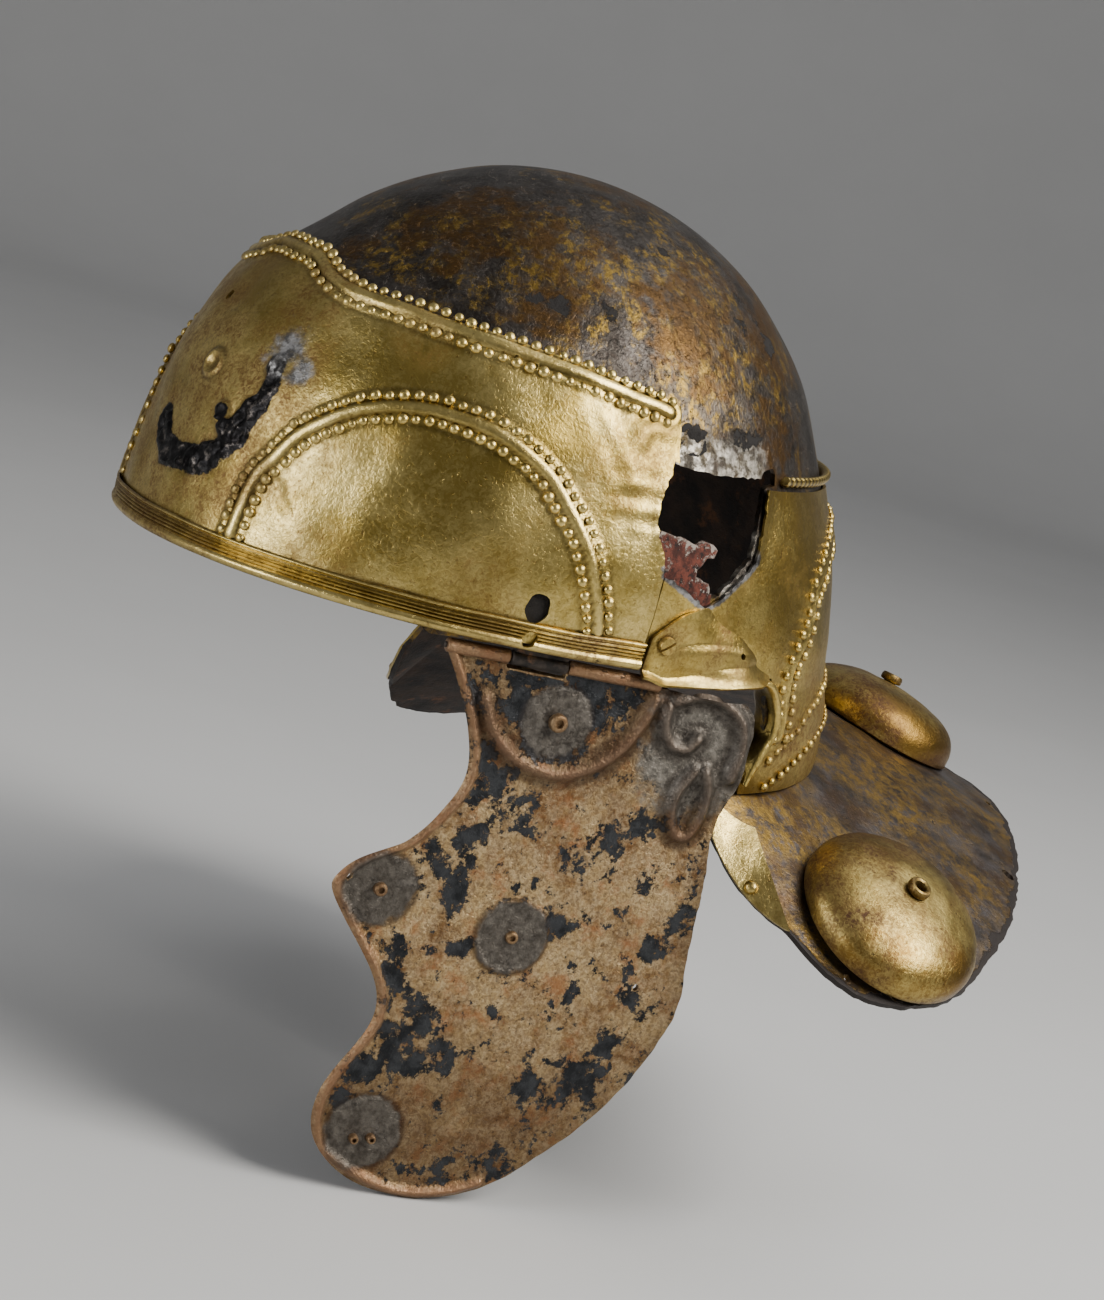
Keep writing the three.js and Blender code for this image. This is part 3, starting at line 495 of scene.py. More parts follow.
tinned_dome, tree = start_finish("tinned_dome")
height, pebbles = skin_of(tree, 8, 1.3, 0.8)
tin = mottled(tree, (0.026, 0.022, 0.020), (0.082, 0.072, 0.066), Size=14, Share=0.5, Edge=0.14)
tin = wash(tree, tin, pebbles, 0.22, (0.13, 0.115, 0.09))
seat = lay(tree, "TexCoord").outputs["Object"]
swept = lay(tree, "Mapping", {"Vector": seat, "Rotation": (0.3, 0.9, 0.4), "Scale": (1, 1, 0.28)}).outputs[0]
streaks = lay(tree, "TexNoise", {
    "Vector": swept, "Scale": 330.0, "Detail": 6.0, "Roughness": 0.7, "Distortion": 0.4,
})
streaks = between(tree, streaks.outputs[0], 0.46, 0.58)
film = crumble(tree, "gilt", 24, 2.6, 0.12)
gold = part(tree, film, sum_of(tree, "ADD", part(tree, streaks, 0.85), 0.08))
colour = tint(tree, gold, tin, (0.27, 0.17, 0.032))
browned = crumble(tree, "brown", 20, 2.2, 0.16)
brown_grain = use(tree, patches, Size=6, Share=0.66, Edge=0.16, Place=12)
colour = tint(tree, part(tree, browned, brown_grain), colour, (0.098, 0.052, 0.016))
colour = wash(tree, colour, rest_of(tree, pebbles), 0.35, (0.03, 0.02, 0.012))
crust = crumble(tree, "crust", 3, 1.1, 0.22)
crust_colour = mottled(tree, (0.10, 0.085, 0.06), (0.38, 0.35, 0.30), Size=3, Share=0.5, Edge=0.1)
colour = tint(tree, crust, colour, crust_colour)
# Black pits, with painted shade where the band's holes show the skull.
pits_and_shade = use(tree, patches, Size=6, Share=0.14, Edge=0.02, Place=21, Grain=0.8)
pits_and_shade = most(tree, pits_and_shade, crumble(tree, "pits_and_shade", 4.5, 1.7, 0.03))
colour = tint(tree, pits_and_shade, colour, (0.012, 0.010, 0.009))
rust = crumble(tree, "rust", 4, 0.5)
rust_colour = mottled(tree, (0.040, 0.010, 0.006), (0.135, 0.036, 0.022), Size=3, Share=0.5, Edge=0.14)
cracks = use(tree, patches, Size=2.2, Share=0.4, Edge=0.04, Place=44, Grain=0.75)
rust_colour = tint(tree, cracks, rust_colour, (0.010, 0.006, 0.005))
pale_bits = use(tree, patches, Size=2.5, Share=0.4, Edge=0.06, Place=47, Grain=0.7)
rust_crust = between(tree, sum_of(tree, "ADD", pale_bits, kept(tree, "rim")), 0.75, 1.25)
rust_colour = tint(tree, rust_crust, rust_colour, (0.30, 0.25, 0.215))
colour = tint(tree, rust, colour, rust_colour)
gloss = raised_by(tree, 0.38, most(tree, pits_and_shade, rust), 0.35)
metal = sum_of(tree, "SUBTRACT", 0.85, most(tree, rust, pits_and_shade), clamp=True)
height = sum_of(tree, "SUBTRACT", height, part(tree, pits_and_shade, 1.3))
height = sum_of(tree, "ADD", height, part(tree, crust, 0.8))
height = sum_of(tree, "ADD", height, part(tree, rust_crust, 0.8))
end_finish(tree, colour, gloss, metal, height, 0.3, 0.25)

rusted_iron, tree = start_finish("rusted_iron")
colour = mottled(tree, (0.016, 0.012, 0.010), (0.05, 0.03, 0.02), Size=9, Share=0.5, Edge=0.15)
orange = use(tree, patches, Size=14, Share=0.3, Edge=0.05, Place=7, Grain=0.7)
colour = tint(tree, orange, colour, (0.13, 0.055, 0.022))
height, pebbles = skin_of(tree, 5, 1.2, 0.9)
end_finish(tree, colour, 0.75, 0.25, height, 0.4)

skull, across, up = flat_grid("iron_skull", 250, 112)
angle = across * 360
wall_share = 0.3
low_z = lower_edge(angle)
high_z = upper_edge(angle)
rise = np.arcsin((high_z - DOME_CENTRE) / DOME_RISE)
rise = rise + (np.pi / 2 - rise) * np.clip((up - wall_share) / (1 - wall_share), 0, 1)
wall_z = low_z + (high_z - low_z) * up / wall_share
z = np.where(up < wall_share, wall_z, DOME_CENTRE + DOME_RISE * np.sin(rise))
places = skull_face(angle, z)
dented = waves(places, 46, 3) * 0.35 + waves(places, 19, 4) * 0.14
shown = smooth((z + 72) / 20) * smooth(-z / 6)
shape(skull, places + facing(dome, angle, np.minimum(z, 0)) * (dented * shown)[:, None])
edit(skull, close_seam)
skull.data.materials.append(tinned_dome)
skull.data.materials.append(rusted_iron)
thicken(skull, SKULL_WALL)
cut_out(skull, tear_cutter(SKULL_TEAR, 0.45))


def near(points, spots):
    """How near each point is to the nearest spot, from 1 on it to 0; a spot is its middle and radius."""
    share = np.zeros(len(points))
    for x, y, z, radius in spots:
        share = np.maximum(share, 1 - np.linalg.norm(points - (x, y, z), axis=1) / radius)
    return share


def distance_to(points, line):
    """How far each point is from the nearest point of a line."""
    tree = kdtree.KDTree(len(line))
    for i, place in enumerate(line):
        tree.insert(place, i)
    tree.balance()
    return np.array([tree.find(place)[2] for place in points])


def from_side(points, outline):
    """How far each point is from an outline on the left wall, seen from the left."""
    return distance_to(points * (0, 1, 1), np.insert(outline, 0, 0, axis=1))


def ridge_share(distance, reach):
    """1 on a line, falling to 0 at a distance."""
    return np.cos(np.pi / 2 * np.clip(distance / reach, 0, 1)) ** 2


places = points_of(skull)
rough = waves(places, 9, 14) * 0.16 + waves(places, 3.5, 15) * 0.12
black_spots = [  # middle and radius
    (36, -74.6, -32.9, 5), (60.9, -45.5, -31.8, 6), (65.1, -38.8, -32.7, 7), (57, -51, -30.5, 4),
    (69, -21.9, -30.9, 8), (62.3, 30.7, -27.5, 6), (60.8, 43.2, -32, 9), (52.9, 33.1, -20.5, 5),
    (57, 40, -26, 6), (85.8, 24.3, -57.8, 8), (84.2, 31.6, -58.6, 8), (88, 5, -60, 5),
    (48, 5, -12, 3.5), (20, 30, -8, 5),
]
# Where the band's holes show the skull, it is painted black: dark iron, and painted shade inside the holes.
HOLES_OVER_SKULL = [(71.2, -118.2, 12), (71.2, -128, 9), (-7.8, -58.5, 8)]  # angle, height, radius
hole_shade_spots = [(*place_on(cover, a, b)[0], radius) for a, b, radius in HOLES_OVER_SKULL]
oval_far = np.abs(np.hypot((places[:, 1] - 3.5) / 5.5, (places[:, 2] + 62) / 4) - 1)
oval_line = np.where(places[:, 0] > LEFT_WALL, ridge_share(oval_far, 0.3), 0) * (0.62 + rough)
behind = near(places, hole_shade_spots) * 2.5
mark(skull, "pits_and_shade", np.maximum.reduce([near(places, black_spots) * 0.9 + rough, behind, oval_line]))
gilt_spots = [  # middle and radius
    (24, -72, -24, 30), (44, -40, -14, 26), (62, 0, -25, 34), (80, -14, -42, 26), (76, 25, -42, 34),
    (45, -60, -35, 24), (70, 40, -30, 30), (50, 20, -10, 26),
]
mark(skull, "gilt", 0.36 + smooth(near(places, gilt_spots) * 1.6) * 0.2 + rough * 0.6)
brown_spots = [  # middle and radius
    (30.6, -52, -15.2, 34), (11.4, -82.6, -31, 16), (7.9, 5.5, 1.6, 26), (-40, -40, -25, 45),
    (-60, 30, -40, 45), (0, 80, -40, 40), (70, 5, -30, 34), (55, 40, -25, 36), (84, 40, -55, 22),
    (60, -40, -28, 24),
]
mark(skull, "brown", 0.3 + smooth((near(places, brown_spots) + rough - 0.12) / 0.5) * 0.32)
how_far_back = places[:, 1]
beside_tear = (places[:, 0] > LEFT_WALL) & (how_far_back > -12) & (how_far_back < 44)
below_fold = smooth((-82 - places[:, 2]) / 5)
upper_crust = smooth((42 - how_far_back) / 9) * smooth((-52 - places[:, 2]) / 14)
upper_crust = upper_crust * smooth((places[:, 2] + 73) / 2) * smooth((how_far_back + 6) / 6)
rear_crust = smooth((how_far_back - 20) / 3) * below_fold
crust_spots = [  # middle and radius
    (86.4, 17.9, -106, 4), (90, 17, -92, 5), (92, 12, -90, 4), (92, 0, -90, 3), (88, 2, -104, 4),
]
crusty = np.maximum(near(places, crust_spots) * 1.1 + rough, upper_crust * (0.6 + rough * 0.8))
crusty = np.maximum(crusty, rear_crust * (0.62 + rough))
mark(skull, "crust", crusty * beside_tear)
free_edge = ragged(SKULL_TEAR[12:], 0, 1)[:-8]
mark(skull, "rim", ridge_share(from_side(places, free_edge), 3.2) * beside_tear)
rusted = beside_tear * below_fold * smooth((20 - how_far_back) / 2)
mark(skull, "rust", rusted * np.clip(1.35 - crusty, 0, 1))
soften(skull)
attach(skull, "helmet")
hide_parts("skull")

# Brow band
# A brass plate over the brow, beaten up from behind: two arches and a border, each a smooth ridge
# between two rows of beads. It is soldered to the skull, and stands away from it over the brow.
SHEET_WALL = 1
SHEET_TEAR = [  # seen from the left: how far back, height
    (-3.4, -69), (12.8, -71), (36.1, -71), (36, -79), (33.4, -93.7), (29.5, -98.2), (20.3, -107),
    (15.3, -109), (8, -105.5), (-1.7, -101.4), (-3.2, -97), (-7.8, -87), (-7.8, -80.8),
]
BORDER = [  # angle, height; its half on the left
    (0, -38.9), (8, -39.2), (12, -41), (16, -43.2), (22, -45.1), (27, -45.7), (37, -46),
    (52, -47.8), (68, -50.1), (83, -54), (86.5, -55.4),
]
ARCH = [  # angle, height
    (22.3, -121.5), (22.8, -104.5), (25, -97), (28.6, -86.8), (35, -77.5), (40, -73.3), (45, -71),
    (50, -70.3), (58.5, -72), (67, -78.8), (71.5, -87.2), (75.7, -97.5), (78.4, -108), (80, -115),
    (80.9, -121.5),
]
BEAD_PITCH = 4.1
BEAD_ROW = 3.6
SCAR = [  # angle, height
    (-5.3, -99), (-1.5, -105.5), (3.5, -106.5), (10, -104.8), (14.4, -98.5), (17, -88), (19.2, -79),
    (18, -70),
]


def walk(surface, rows, pitch):
    """Points a pitch apart on a line over a surface, with the way out and the way across the line."""
    table = [(i, *row) for i, row in enumerate(rows)]
    fine = np.linspace(0, len(rows) - 1, 3000)
    line = surface(curve(table, 1, fine), curve(table, 2, fine))
    length = np.append(0, np.cumsum(np.linalg.norm(np.diff(line, axis=0), axis=1)))
    count = max(int(round(length[-1] / pitch)), 1)
    at = np.interp(np.linspace(0, length[-1], count + 1), length, fine)
    u = curve(table, 1, at)
    v = curve(table, 2, at)
    points = surface(u, v)
    out = facing(surface, u, v)
    along = np.gradient(points, axis=0)
    beside = np.cross(out, along)
    return points, out, beside / np.linalg.norm(beside, axis=1, keepdims=True)


def both_sides(rows):
    """A line over the middle, from its half on the left."""
    return [(-a, b) for a, b in reversed(rows[1:])] + rows


def ridge(distance, reach, height):
    """A rounded ridge over a line."""
    return height * ridge_share(distance, reach)


def beads(spots, outs, radius, seed, finish, squat=0.64):
    """One low bead on each spot, alike but for the hand's unevenness, each with its own mesh."""
    pick = np.random.default_rng(seed)
    bpy.ops.object.select_all(action="DESELECT")
    bpy.ops.mesh.primitive_uv_sphere_add(segments=10, ring_count=6, radius=radius * MM)
    first = bpy.context.object
    first.name = "bead"
    first.data.materials.append(finish)
    mark(first, "raised", np.ones(len(first.data.vertices)))
    for polygon in first.data.polygons:
        polygon.use_smooth = True
    made = []
    for spot, out in zip(spots, outs):
        bead = first.copy()
        bead.data = first.data.copy()
        bpy.context.collection.objects.link(bead)
        size = pick.uniform(0.84, 1.12)
        lean = Vector(out).to_track_quat("Z", "Y").to_matrix().to_4x4()
        place = Matrix.Translation(Vector(spot + pick.normal(size=3) * 0.13) * MM)
        bead.data.transform(place @ lean @ Matrix.Diagonal((size, size, size * squat, 1)))
        made.append(bead)
    bpy.data.objects.remove(first)
    return made


def join_to(piece, others):
    bpy.ops.object.select_all(action="DESELECT")
    for other in others:
        other.select_set(True)
    piece.select_set(True)
    bpy.context.view_layer.objects.active = piece
    bpy.ops.object.join()


def brass_finish(name, bright, dull, stained_and_shaded, share, place, rubbed=0.3):
    """Old yellow brass: bright where it is rubbed, dull in the hollows of its grain, brown in its stains;
    painted shade darkens its marked hollows and gaps, and is part of the stains on some pieces.
    """
    made, tree = start_finish(name)
    height, pebbles = skin_of(tree, 9, 1.15, 0.5)
    dulled = use(tree, patches, Size=34, Share=share, Edge=0.16, Place=place, Grain=0.6)
    low_pebbles = rest_of(tree, pebbles)
    dulled = sum_of(tree, "ADD", dulled, part(tree, low_pebbles, 0.4), clamp=True)
    raised = kept(tree, "raised")
    dulled = sum_of(tree, "SUBTRACT", dulled, part(tree, raised, 0.6), clamp=True)
    colour = tint(tree, dulled, bright, dull)
    grime = use(tree, patches, Size=6, Share=0.36, Edge=0.13, Place=place + 4, Grain=0.7)
    colour = tint(tree, part(tree, grime, 0.6), colour, dull)
    pores = use(tree, patches, Size=1.6, Share=0.24, Edge=0.05, Place=place + 20, Grain=0.6)
    colour = tint(tree, part(tree, pores, 0.55), colour, stained_and_shaded)
    smear = use(tree, patches, Size=9, Share=0.6, Edge=0.16, Place=place + 8, Grain=0.7)
    loose = use(tree, patches, Size=26, Share=0.22, Edge=0.07, Place=place + 10, Grain=0.65)
    # The stain mark is brown tarnish, and on some pieces painted shade as well.
    stain_and_shade = part(tree, kept(tree, "stain_and_shade"), smear)
    stain_and_shade = sum_of(tree, "ADD", stain_and_shade, part(tree, loose, 0.45), clamp=True)
    stain_and_shade = part(tree, stain_and_shade, rest_of(tree, part(tree, pebbles, 0.45)))
    colour = tint(tree, stain_and_shade, colour, stained_and_shaded)
    # Painted shade: a dark wash over the marked hollows, grooves and gaps.
    hollow_shade = kept(tree, "hollow_shade")
    colour = wash(tree, colour, hollow_shade, 0.8, (0.045, 0.024, 0.007))
    specks = use(tree, patches, Size=4, Share=0.1, Edge=0.02, Place=place + 15, Grain=0.7)
    colour = wash(tree, colour, specks, 0.8, (0.03, 0.018, 0.008))
    scar = crumble(tree, "scar", 3.5, 0.7)
    solder = mottled(
        tree, (0.008, 0.007, 0.007), (0.14, 0.12, 0.105), Size=3.4, Share=0.3, Edge=0.07, Grain=0.7,
    )
    colour = tint(tree, scar, colour, solder)
    grey = crumble(tree, "grey", 5, 0.9, 0.16)
    silver = mottled(tree, (0.10, 0.095, 0.09), (0.34, 0.33, 0.32), Size=3, Share=0.5, Edge=0.1)
    colour = tint(tree, grey, colour, silver)
    gloss = raised_by(tree, rubbed, stain_and_shade, 0.2)
    metal = rest_of(tree, part(tree, stain_and_shade, 0.35))
    height = sum_of(tree, "SUBTRACT", height, part(tree, specks, 0.5))
    height = sum_of(tree, "SUBTRACT", height, part(tree, pores, 0.1))
    end_finish(tree, colour, gloss, metal, height, 0.26)
    return made


brow_brass = brass_finish("brow_brass", (0.72, 0.56, 0.20), (0.34, 0.24, 0.055), (0.15, 0.08, 0.02), 0.45, 1)
brass_inside, tree = start_finish("brass_inside")
colour = mottled(tree, (0.035, 0.025, 0.012), (0.13, 0.085, 0.03), Size=8, Share=0.5, Edge=0.12)
end_finish(tree, colour, 0.6, 0.6, skin_of(tree, 6, 1, 0.6)[0], 0.3)

band, across, up = flat_grid("brass_brow_band", 345, 112)
angle = (across * 2 - 1) * BAND_END
low_z = lower_edge(angle)
z = low_z + (upper_edge(angle) - low_z) * up
places = cover(angle, z)
outs = facing(cover, angle, z)
border_rows = both_sides(BORDER)
arch_right = [(-a, b) for a, b in ARCH]
nearest = np.full(len(places), 99.0)
for rows in (border_rows, ARCH, arch_right):
    nearest = np.minimum(nearest, distance_to(places, walk(cover, rows, 0.7)[0]))
relief = smooth((2.75 - nearest) / 1.5) * 1.15 + ridge(nearest, 2.7, 0.3)
relief = relief + ridge(np.abs(nearest - BEAD_ROW), 1.5, 0.5)
relief += waves(places, 34, 21) * 0.46 + waves(places, 13, 22) * 0.17
beaten_spots = near(places, [(94, -14, -66, 20), (97, -10, -80, 18), (92, -22, -60, 15)])
relief += smooth(beaten_spots * 1.6) * waves(places, 8, 23) * 0.5
crease = walk(cover, [(27.5, -104), (29, -107.5), (30.5, -110)], 0.5)[0]
relief -= ridge(distance_to(places, crease), 3.4, 0.5)
scar_far = distance_to(places, walk(cover, SCAR, 0.7)[0])
knob = near(places, [(*place_on(cover, a, b)[0], 4.2) for a, b in ((11.4, -89.6), (13.2, -93.4))])
scar_wide = 4.6 + waves(places, 9, 31) * 1.1 - smooth((places[:, 2] + 90) / 12) * 1.6
scar = np.maximum(smooth((scar_wide - scar_far) / 1.4), smooth(knob * 2))
scar_field = np.maximum(0.5 + (scar_wide - scar_far) / 5, knob * 1.4)
relief += scar * (0.6 + waves(places, 3.4, 32) * 0.6 + waves(places, 7, 33) * 0.45) + smooth(knob * 1.6) * 1.6
ring_far = np.linalg.norm(places - place_on(cover, 2.6, -77.4)[0], axis=1)
relief += ridge(np.abs(ring_far - 3.7), 1.6, 0.85) - smooth((2.6 - ring_far) / 0.8) * 0.7
tear_line = ragged(SHEET_TEAR, 0, 1)


def bent_out_at_tear(points):
    """How far the sheets are bent out beside their torn edge."""
    far = np.where(points[:, 0] > LEFT_WALL, from_side(points, tear_line), 99)
    return 0.7 * np.exp(-far / 2.2)


relief += bent_out_at_tear(places)
mark(band, "raised", ridge(nearest, 2, 1) + smooth((relief - 0.4) / 0.9) * 0.2)
# Painted shade in the grooves beside the ridges, round and inside the ring, and along the scar's edge.
hollow_shade = ridge(np.abs(nearest - 2.0), 0.9, 1) + ridge(np.abs(nearest - 5.4), 1.3, 0.55)
hollow_shade = np.maximum(hollow_shade, ridge(np.abs(ring_far - 5.2), 1.2, 0.8))
hollow_shade = np.maximum(hollow_shade, smooth((2.6 - ring_far) / 0.8) * 0.75)
mark(band, "hollow_shade", np.maximum(hollow_shade, ridge(scar_far - scar_wide, 1.4, 0.5)))
mark(band, "scar", scar_field)
shape(band, places + outs * relief[:, None])
band.data.materials.append(brow_brass)
band.data.materials.append(brass_inside)
thicken(band, SHEET_WALL)


def hole_along(middle, out, radius, wobble, seed, sides=22):
    """A cutter for a small uneven hole through a wall."""
    turns = np.linspace(0, 2 * np.pi, sides, endpoint=False)
    reach = radius * (1 + wobble * np.sin(2 * turns + seed) + wobble / 3 * np.sin(5 * turns + 2 * seed))
    outline = np.column_stack([np.cos(turns) * reach, np.sin(turns) * reach])
    lean = Vector(out).to_track_quat("Z", "Y").to_matrix().to_4x4()
    return prism(outline, -9, 9, Matrix.Translation(Vector(middle) * MM) @ lean)


BAND_HOLES = [  # angle, height, radius, unevenness
    (-7.8, -58.5, 1.6, 0.15),
    (71.2, -118.2, 4.1, 0.12),
    (58, -50.8, 0.9, 0.1),
    (61.5, -51.6, 0.9, 0.1),
]
for hole_angle, hole_z, radius, wobble in BAND_HOLES:
    cut_out(band, hole_along(*place_on(cover, hole_angle, hole_z), radius, wobble, 5))
cut_out(band, tear_cutter(SHEET_TEAR, 0.5))
bead_rows = []
for rows in (border_rows, ARCH, arch_right):
    spots, outs, beside = walk(cover, rows, BEAD_PITCH)
    for shift in (BEAD_ROW, -BEAD_ROW):
        bead_rows += beads(spots + beside * shift + outs * 0.5, outs, 1.62, 7 + len(bead_rows), brow_brass)
join_to(band, bead_rows)
places = points_of(band)
# Brown tarnish over the front and the lower rear; over the front it is also painted shade for the side turned
# from the key lamp.
front = near(places, [(10, -118, -95, 62), (-30, -110, -80, 60), (20, -100, -45, 22), (60, -80, -48, 15)])
rear = near(places, [(93, -18, -75, 20), (96, -8, -120, 9), (88, -50, -125, 16), (60, -92, -126, 24)])
flow = waves(places, 26, 41) * 0.16
mark(band, "stain_and_shade", np.maximum(smooth((front + flow) * 1.9), smooth((rear + flow) * 1.5) * 0.7))
torn = np.clip(0.5 + (1.4 - from_side(places, tear_line)) / 2.5, 0, 1)
torn = (places[:, 0] > LEFT_WALL) * smooth((-97 - places[:, 2]) / 3) * torn
smeared = near(places, [(30, -104, -66, 17), (36, -101, -72, 12)]) * 0.75 + waves(places, 7, 42) * 0.06
mark(band, "grey", np.maximum(smeared, torn))
soften(band)
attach(band, "helmet")
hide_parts("brow_band")

# Rim binding
# A brass strip folded round the lower edge of the brow, a bold rib below and fine ones over it.
# It is soldered over the band, and a rivet hole goes through it near the hinge.
RIM_Z = -131
BINDING_TOP = 8.5
fine = np.linspace(BINDING_TOP, 0.15, 42)
top_rib = 1.2 + 0.7 * np.sin(np.pi * (fine - 7.3) / 1.2)
fine_ribs = 1.5 + 0.3 * np.cos(2 * np.pi * (fine - 3.1) / 1.05)
bold_rib = 1.5 + 0.8 * np.sin(np.pi * (fine - 0.15) / 2.95)
RIM_FACE = np.where(fine < 3.1, bold_rib, np.where(fine > 7.3, top_rib, fine_ribs))
RIM_BACK = [  # outward, up
    (0, 0), (-1.8, 0), (-3.3, 0.1), (-3.3, 1), (-1.5, 1.1), (0.5, 1.1), (0.5, 4), (0.4, 7),
]
RIM_PROFILE = [*zip(RIM_FACE, fine), *RIM_BACK]
binding, across, up = flat_grid("brass_rim_binding", 260, len(RIM_PROFILE))
angle = (across * 2 - 1) * BAND_END
profile = np.array(RIM_PROFILE + RIM_PROFILE[:1])
step = np.rint(up * len(RIM_PROFILE)).astype(int)
z = RIM_Z + profile[step, 1]
places = cover(angle, z)
outs = facing(cover, angle, z)
outward = profile[step, 0] + waves(places * (1, 1, 0.1), 24, 51) * 0.14
places = places + outs * (1, 1, 0) * outward[:, None]
places[:, 2] += waves(places * (1, 1, 0), 30, 52) * 0.12 * smooth((profile[step, 1] - 0.5) / 4)
on_face = step < len(fine)
# Painted shade in the grooves between the ribs.
mark(binding, "hollow_shade", on_face * smooth((1.32 - profile[step, 0]) / 0.1))
mark(binding, "raised", on_face * smooth((profile[step, 0] - 1.6) / 0.3))
shape(binding, places)


def fill_ends():
    """Closes a piece's open ends with flat faces."""
    bpy.ops.mesh.select_all(action="DESELECT")
    bpy.ops.mesh.select_non_manifold(extend=False)
    bpy.ops.mesh.edge_face_add()
    bpy.ops.mesh.select_all(action="SELECT")
    bpy.ops.mesh.normals_make_consistent(inside=False)


edit(binding, close_seam, fill_ends)
rim_brass = brass_finish("rim_brass", (0.62, 0.48, 0.17), (0.28, 0.19, 0.05), (0.12, 0.06, 0.018), 0.5, 2)
binding.data.materials.append(rim_brass)
cut_out(binding, hole_along(*place_on(cover, 71.2, -127.4), 2.3, 0.14, 6))
places = points_of(binding)
stained_and_shaded = near(places, [(-30, -118, -127, 80), (97, -20, -127, 16)]) + waves(places, 18, 53) * 0.2
mark(binding, "stain_and_shade", smooth(stained_and_shaded * 1.6))
soften(binding, 60)
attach(binding, "helmet")
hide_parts("rim_binding")

# Rear ring
# A brass wire with a cabled face, soldered round the back of the dome over the seam of the sheath.
RING_Z = -70
RING_FROM = 116
RING_TO = 270
RING_RADIUS = 1.6
CABLE_PITCH = 3.4
ring, across, up = flat_grid("cabled_ring", 620, 12)
angle = RING_FROM + (RING_TO - RING_FROM) * across
round_turn = up * 2 * np.pi
middle = cover(angle, np.full_like(angle, RING_Z))
outs = facing(cover, angle, np.full_like(angle, RING_Z))
arc = np.radians(angle - RING_FROM) * 103
cable = 1 + 0.13 * np.sin(arc / CABLE_PITCH * 2 * np.pi + round_turn)
reach = RING_RADIUS * cable
outward = 0.25 + np.cos(round_turn) * reach
upward = np.sin(round_turn) * reach
shape(ring, middle + outs * outward[:, None] + np.outer(upward, (0, 0, 1)))
mark(ring, "raised", smooth((cable - 0.98) / 0.12))
# Painted shade in the grooves of the cable.
mark(ring, "hollow_shade", smooth((0.97 - cable) / 0.08))
edit(ring, close_seam, fill_ends)
ring.data.materials.append(rim_brass)
soften(ring, 60)
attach(ring, "helmet")
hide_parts("rear_ring")

# Neck sheath
# A brass sheet over the nape, beaten up with an arch like the brow's, with two more rows of beads
# above the crease of the guard. Its front edges are rolled and turned in, and its left side is
# torn open together with the band.
NAPE_ARCH = [  # angle, height
    (117.5, -149), (118.4, -130), (119.3, -124), (121.7, -118), (124.3, -110), (126.6, -101),
    (140, -88), (160, -83), (180, -82),
]
NAPE_LINE = [  # angle, height
    (115.8, -156), (119, -151.5), (123, -147), (130, -138.6), (150, -131), (180, -129),
]
FRONT_ROLL = [  # angle, height
    (109.5, -130.3), (111.6, -131), (113.2, -133.5), (114.3, -138), (114.7, -143), (114.2, -148),
    (112.9, -152), (111.6, -157), (110.7, -164),
]
CREASE_LINE = [  # angle, height
    (116.6, -165), (120.4, -161.4), (125.6, -156.4), (133, -150.6), (143, -146.4), (158, -143),
    (180, -142),
]


def round_back(rows):
    """A line round the back, from its half on the left."""
    return rows + [(360 - a, b) for a, b in reversed(rows[:-1])]


sheath, across, up = flat_grid("brass_neck_sheath", 330, 100)
edge_columns = [(0, 89.2), (0.06, 96), (0.2, 112.2), (0.27, 116), (0.5, 180)]
half = np.minimum(across, 1 - across)
angle = np.interp(half, *np.array(edge_columns).T)
angle = np.where(across > 0.5, 360 - angle, angle)
apart = np.minimum(angle, 360 - angle)
full_drop = BAND_FOOT - lower_edge(np.maximum(apart, 116))
share = (BAND_FOOT - lower_edge(apart)) / full_drop
low_z = BAND_FOOT - full_drop * share ** 1.6 - 1.2 * smooth((share - 0.7) / 0.25)
z = low_z + (upper_edge(angle) - low_z) * up
forward = 5 * smooth((-145 - z) / 20) * smooth((128 - apart) / 12)
angle = np.where(across > 0.5, angle + forward, angle - forward)
places = cover(angle, z)
outs = facing(cover, angle, z)
nape_rows = round_back(NAPE_ARCH)
nearest = distance_to(places, walk(cover, nape_rows, 0.7)[0])
to_line = distance_to(places, walk(cover, round_back(NAPE_LINE), 0.7)[0])
relief = ridge(nearest, 2.4, 1.2) + ridge(np.abs(nearest - 3.3), 1.5, 0.75) + ridge(to_line, 1.8, 0.8)
relief += waves(places, 30, 61) * 0.3 + waves(places, 12, 62) * 0.1
relief += bent_out_at_tear(places)
mark(sheath, "raised", ridge(nearest, 2, 1))
# Painted shade in the grooves beside the arch and beside the bead line.
hollow_shade = np.maximum(ridge(np.abs(nearest - 1.9), 0.8, 0.9), ridge(np.abs(to_line - 2.1), 1, 0.5))
mark(sheath, "hollow_shade", hollow_shade)
shape(sheath, places + outs * relief[:, None])
sheath_brass = brass_finish(
    "sheath_brass", (0.66, 0.50, 0.16), (0.34, 0.23, 0.05), (0.15, 0.08, 0.02), 0.5, 3,
)
sheath.data.materials.append(sheath_brass)
sheath.data.materials.append(brass_inside)
thicken(sheath, SHEET_WALL)
cut_out(sheath, tear_cutter(SHEET_TEAR, 0.5))
bead_rows = []
spots, outs, beside = walk(cover, nape_rows, 4.2)
for shift in (3.3, -3.3):
    bead_rows += beads(spots + beside * shift + outs * 0.5, outs, 1.6, 70 + len(bead_rows), sheath_brass)
for rows in (NAPE_LINE, CREASE_LINE):
    spots, outs, beside = walk(cover, round_back(rows), 3.9)
    bead_rows += beads(spots + outs * 0.4, outs, 1.5, 90 + len(bead_rows), sheath_brass)
ROLL_RADIUS = 1.6
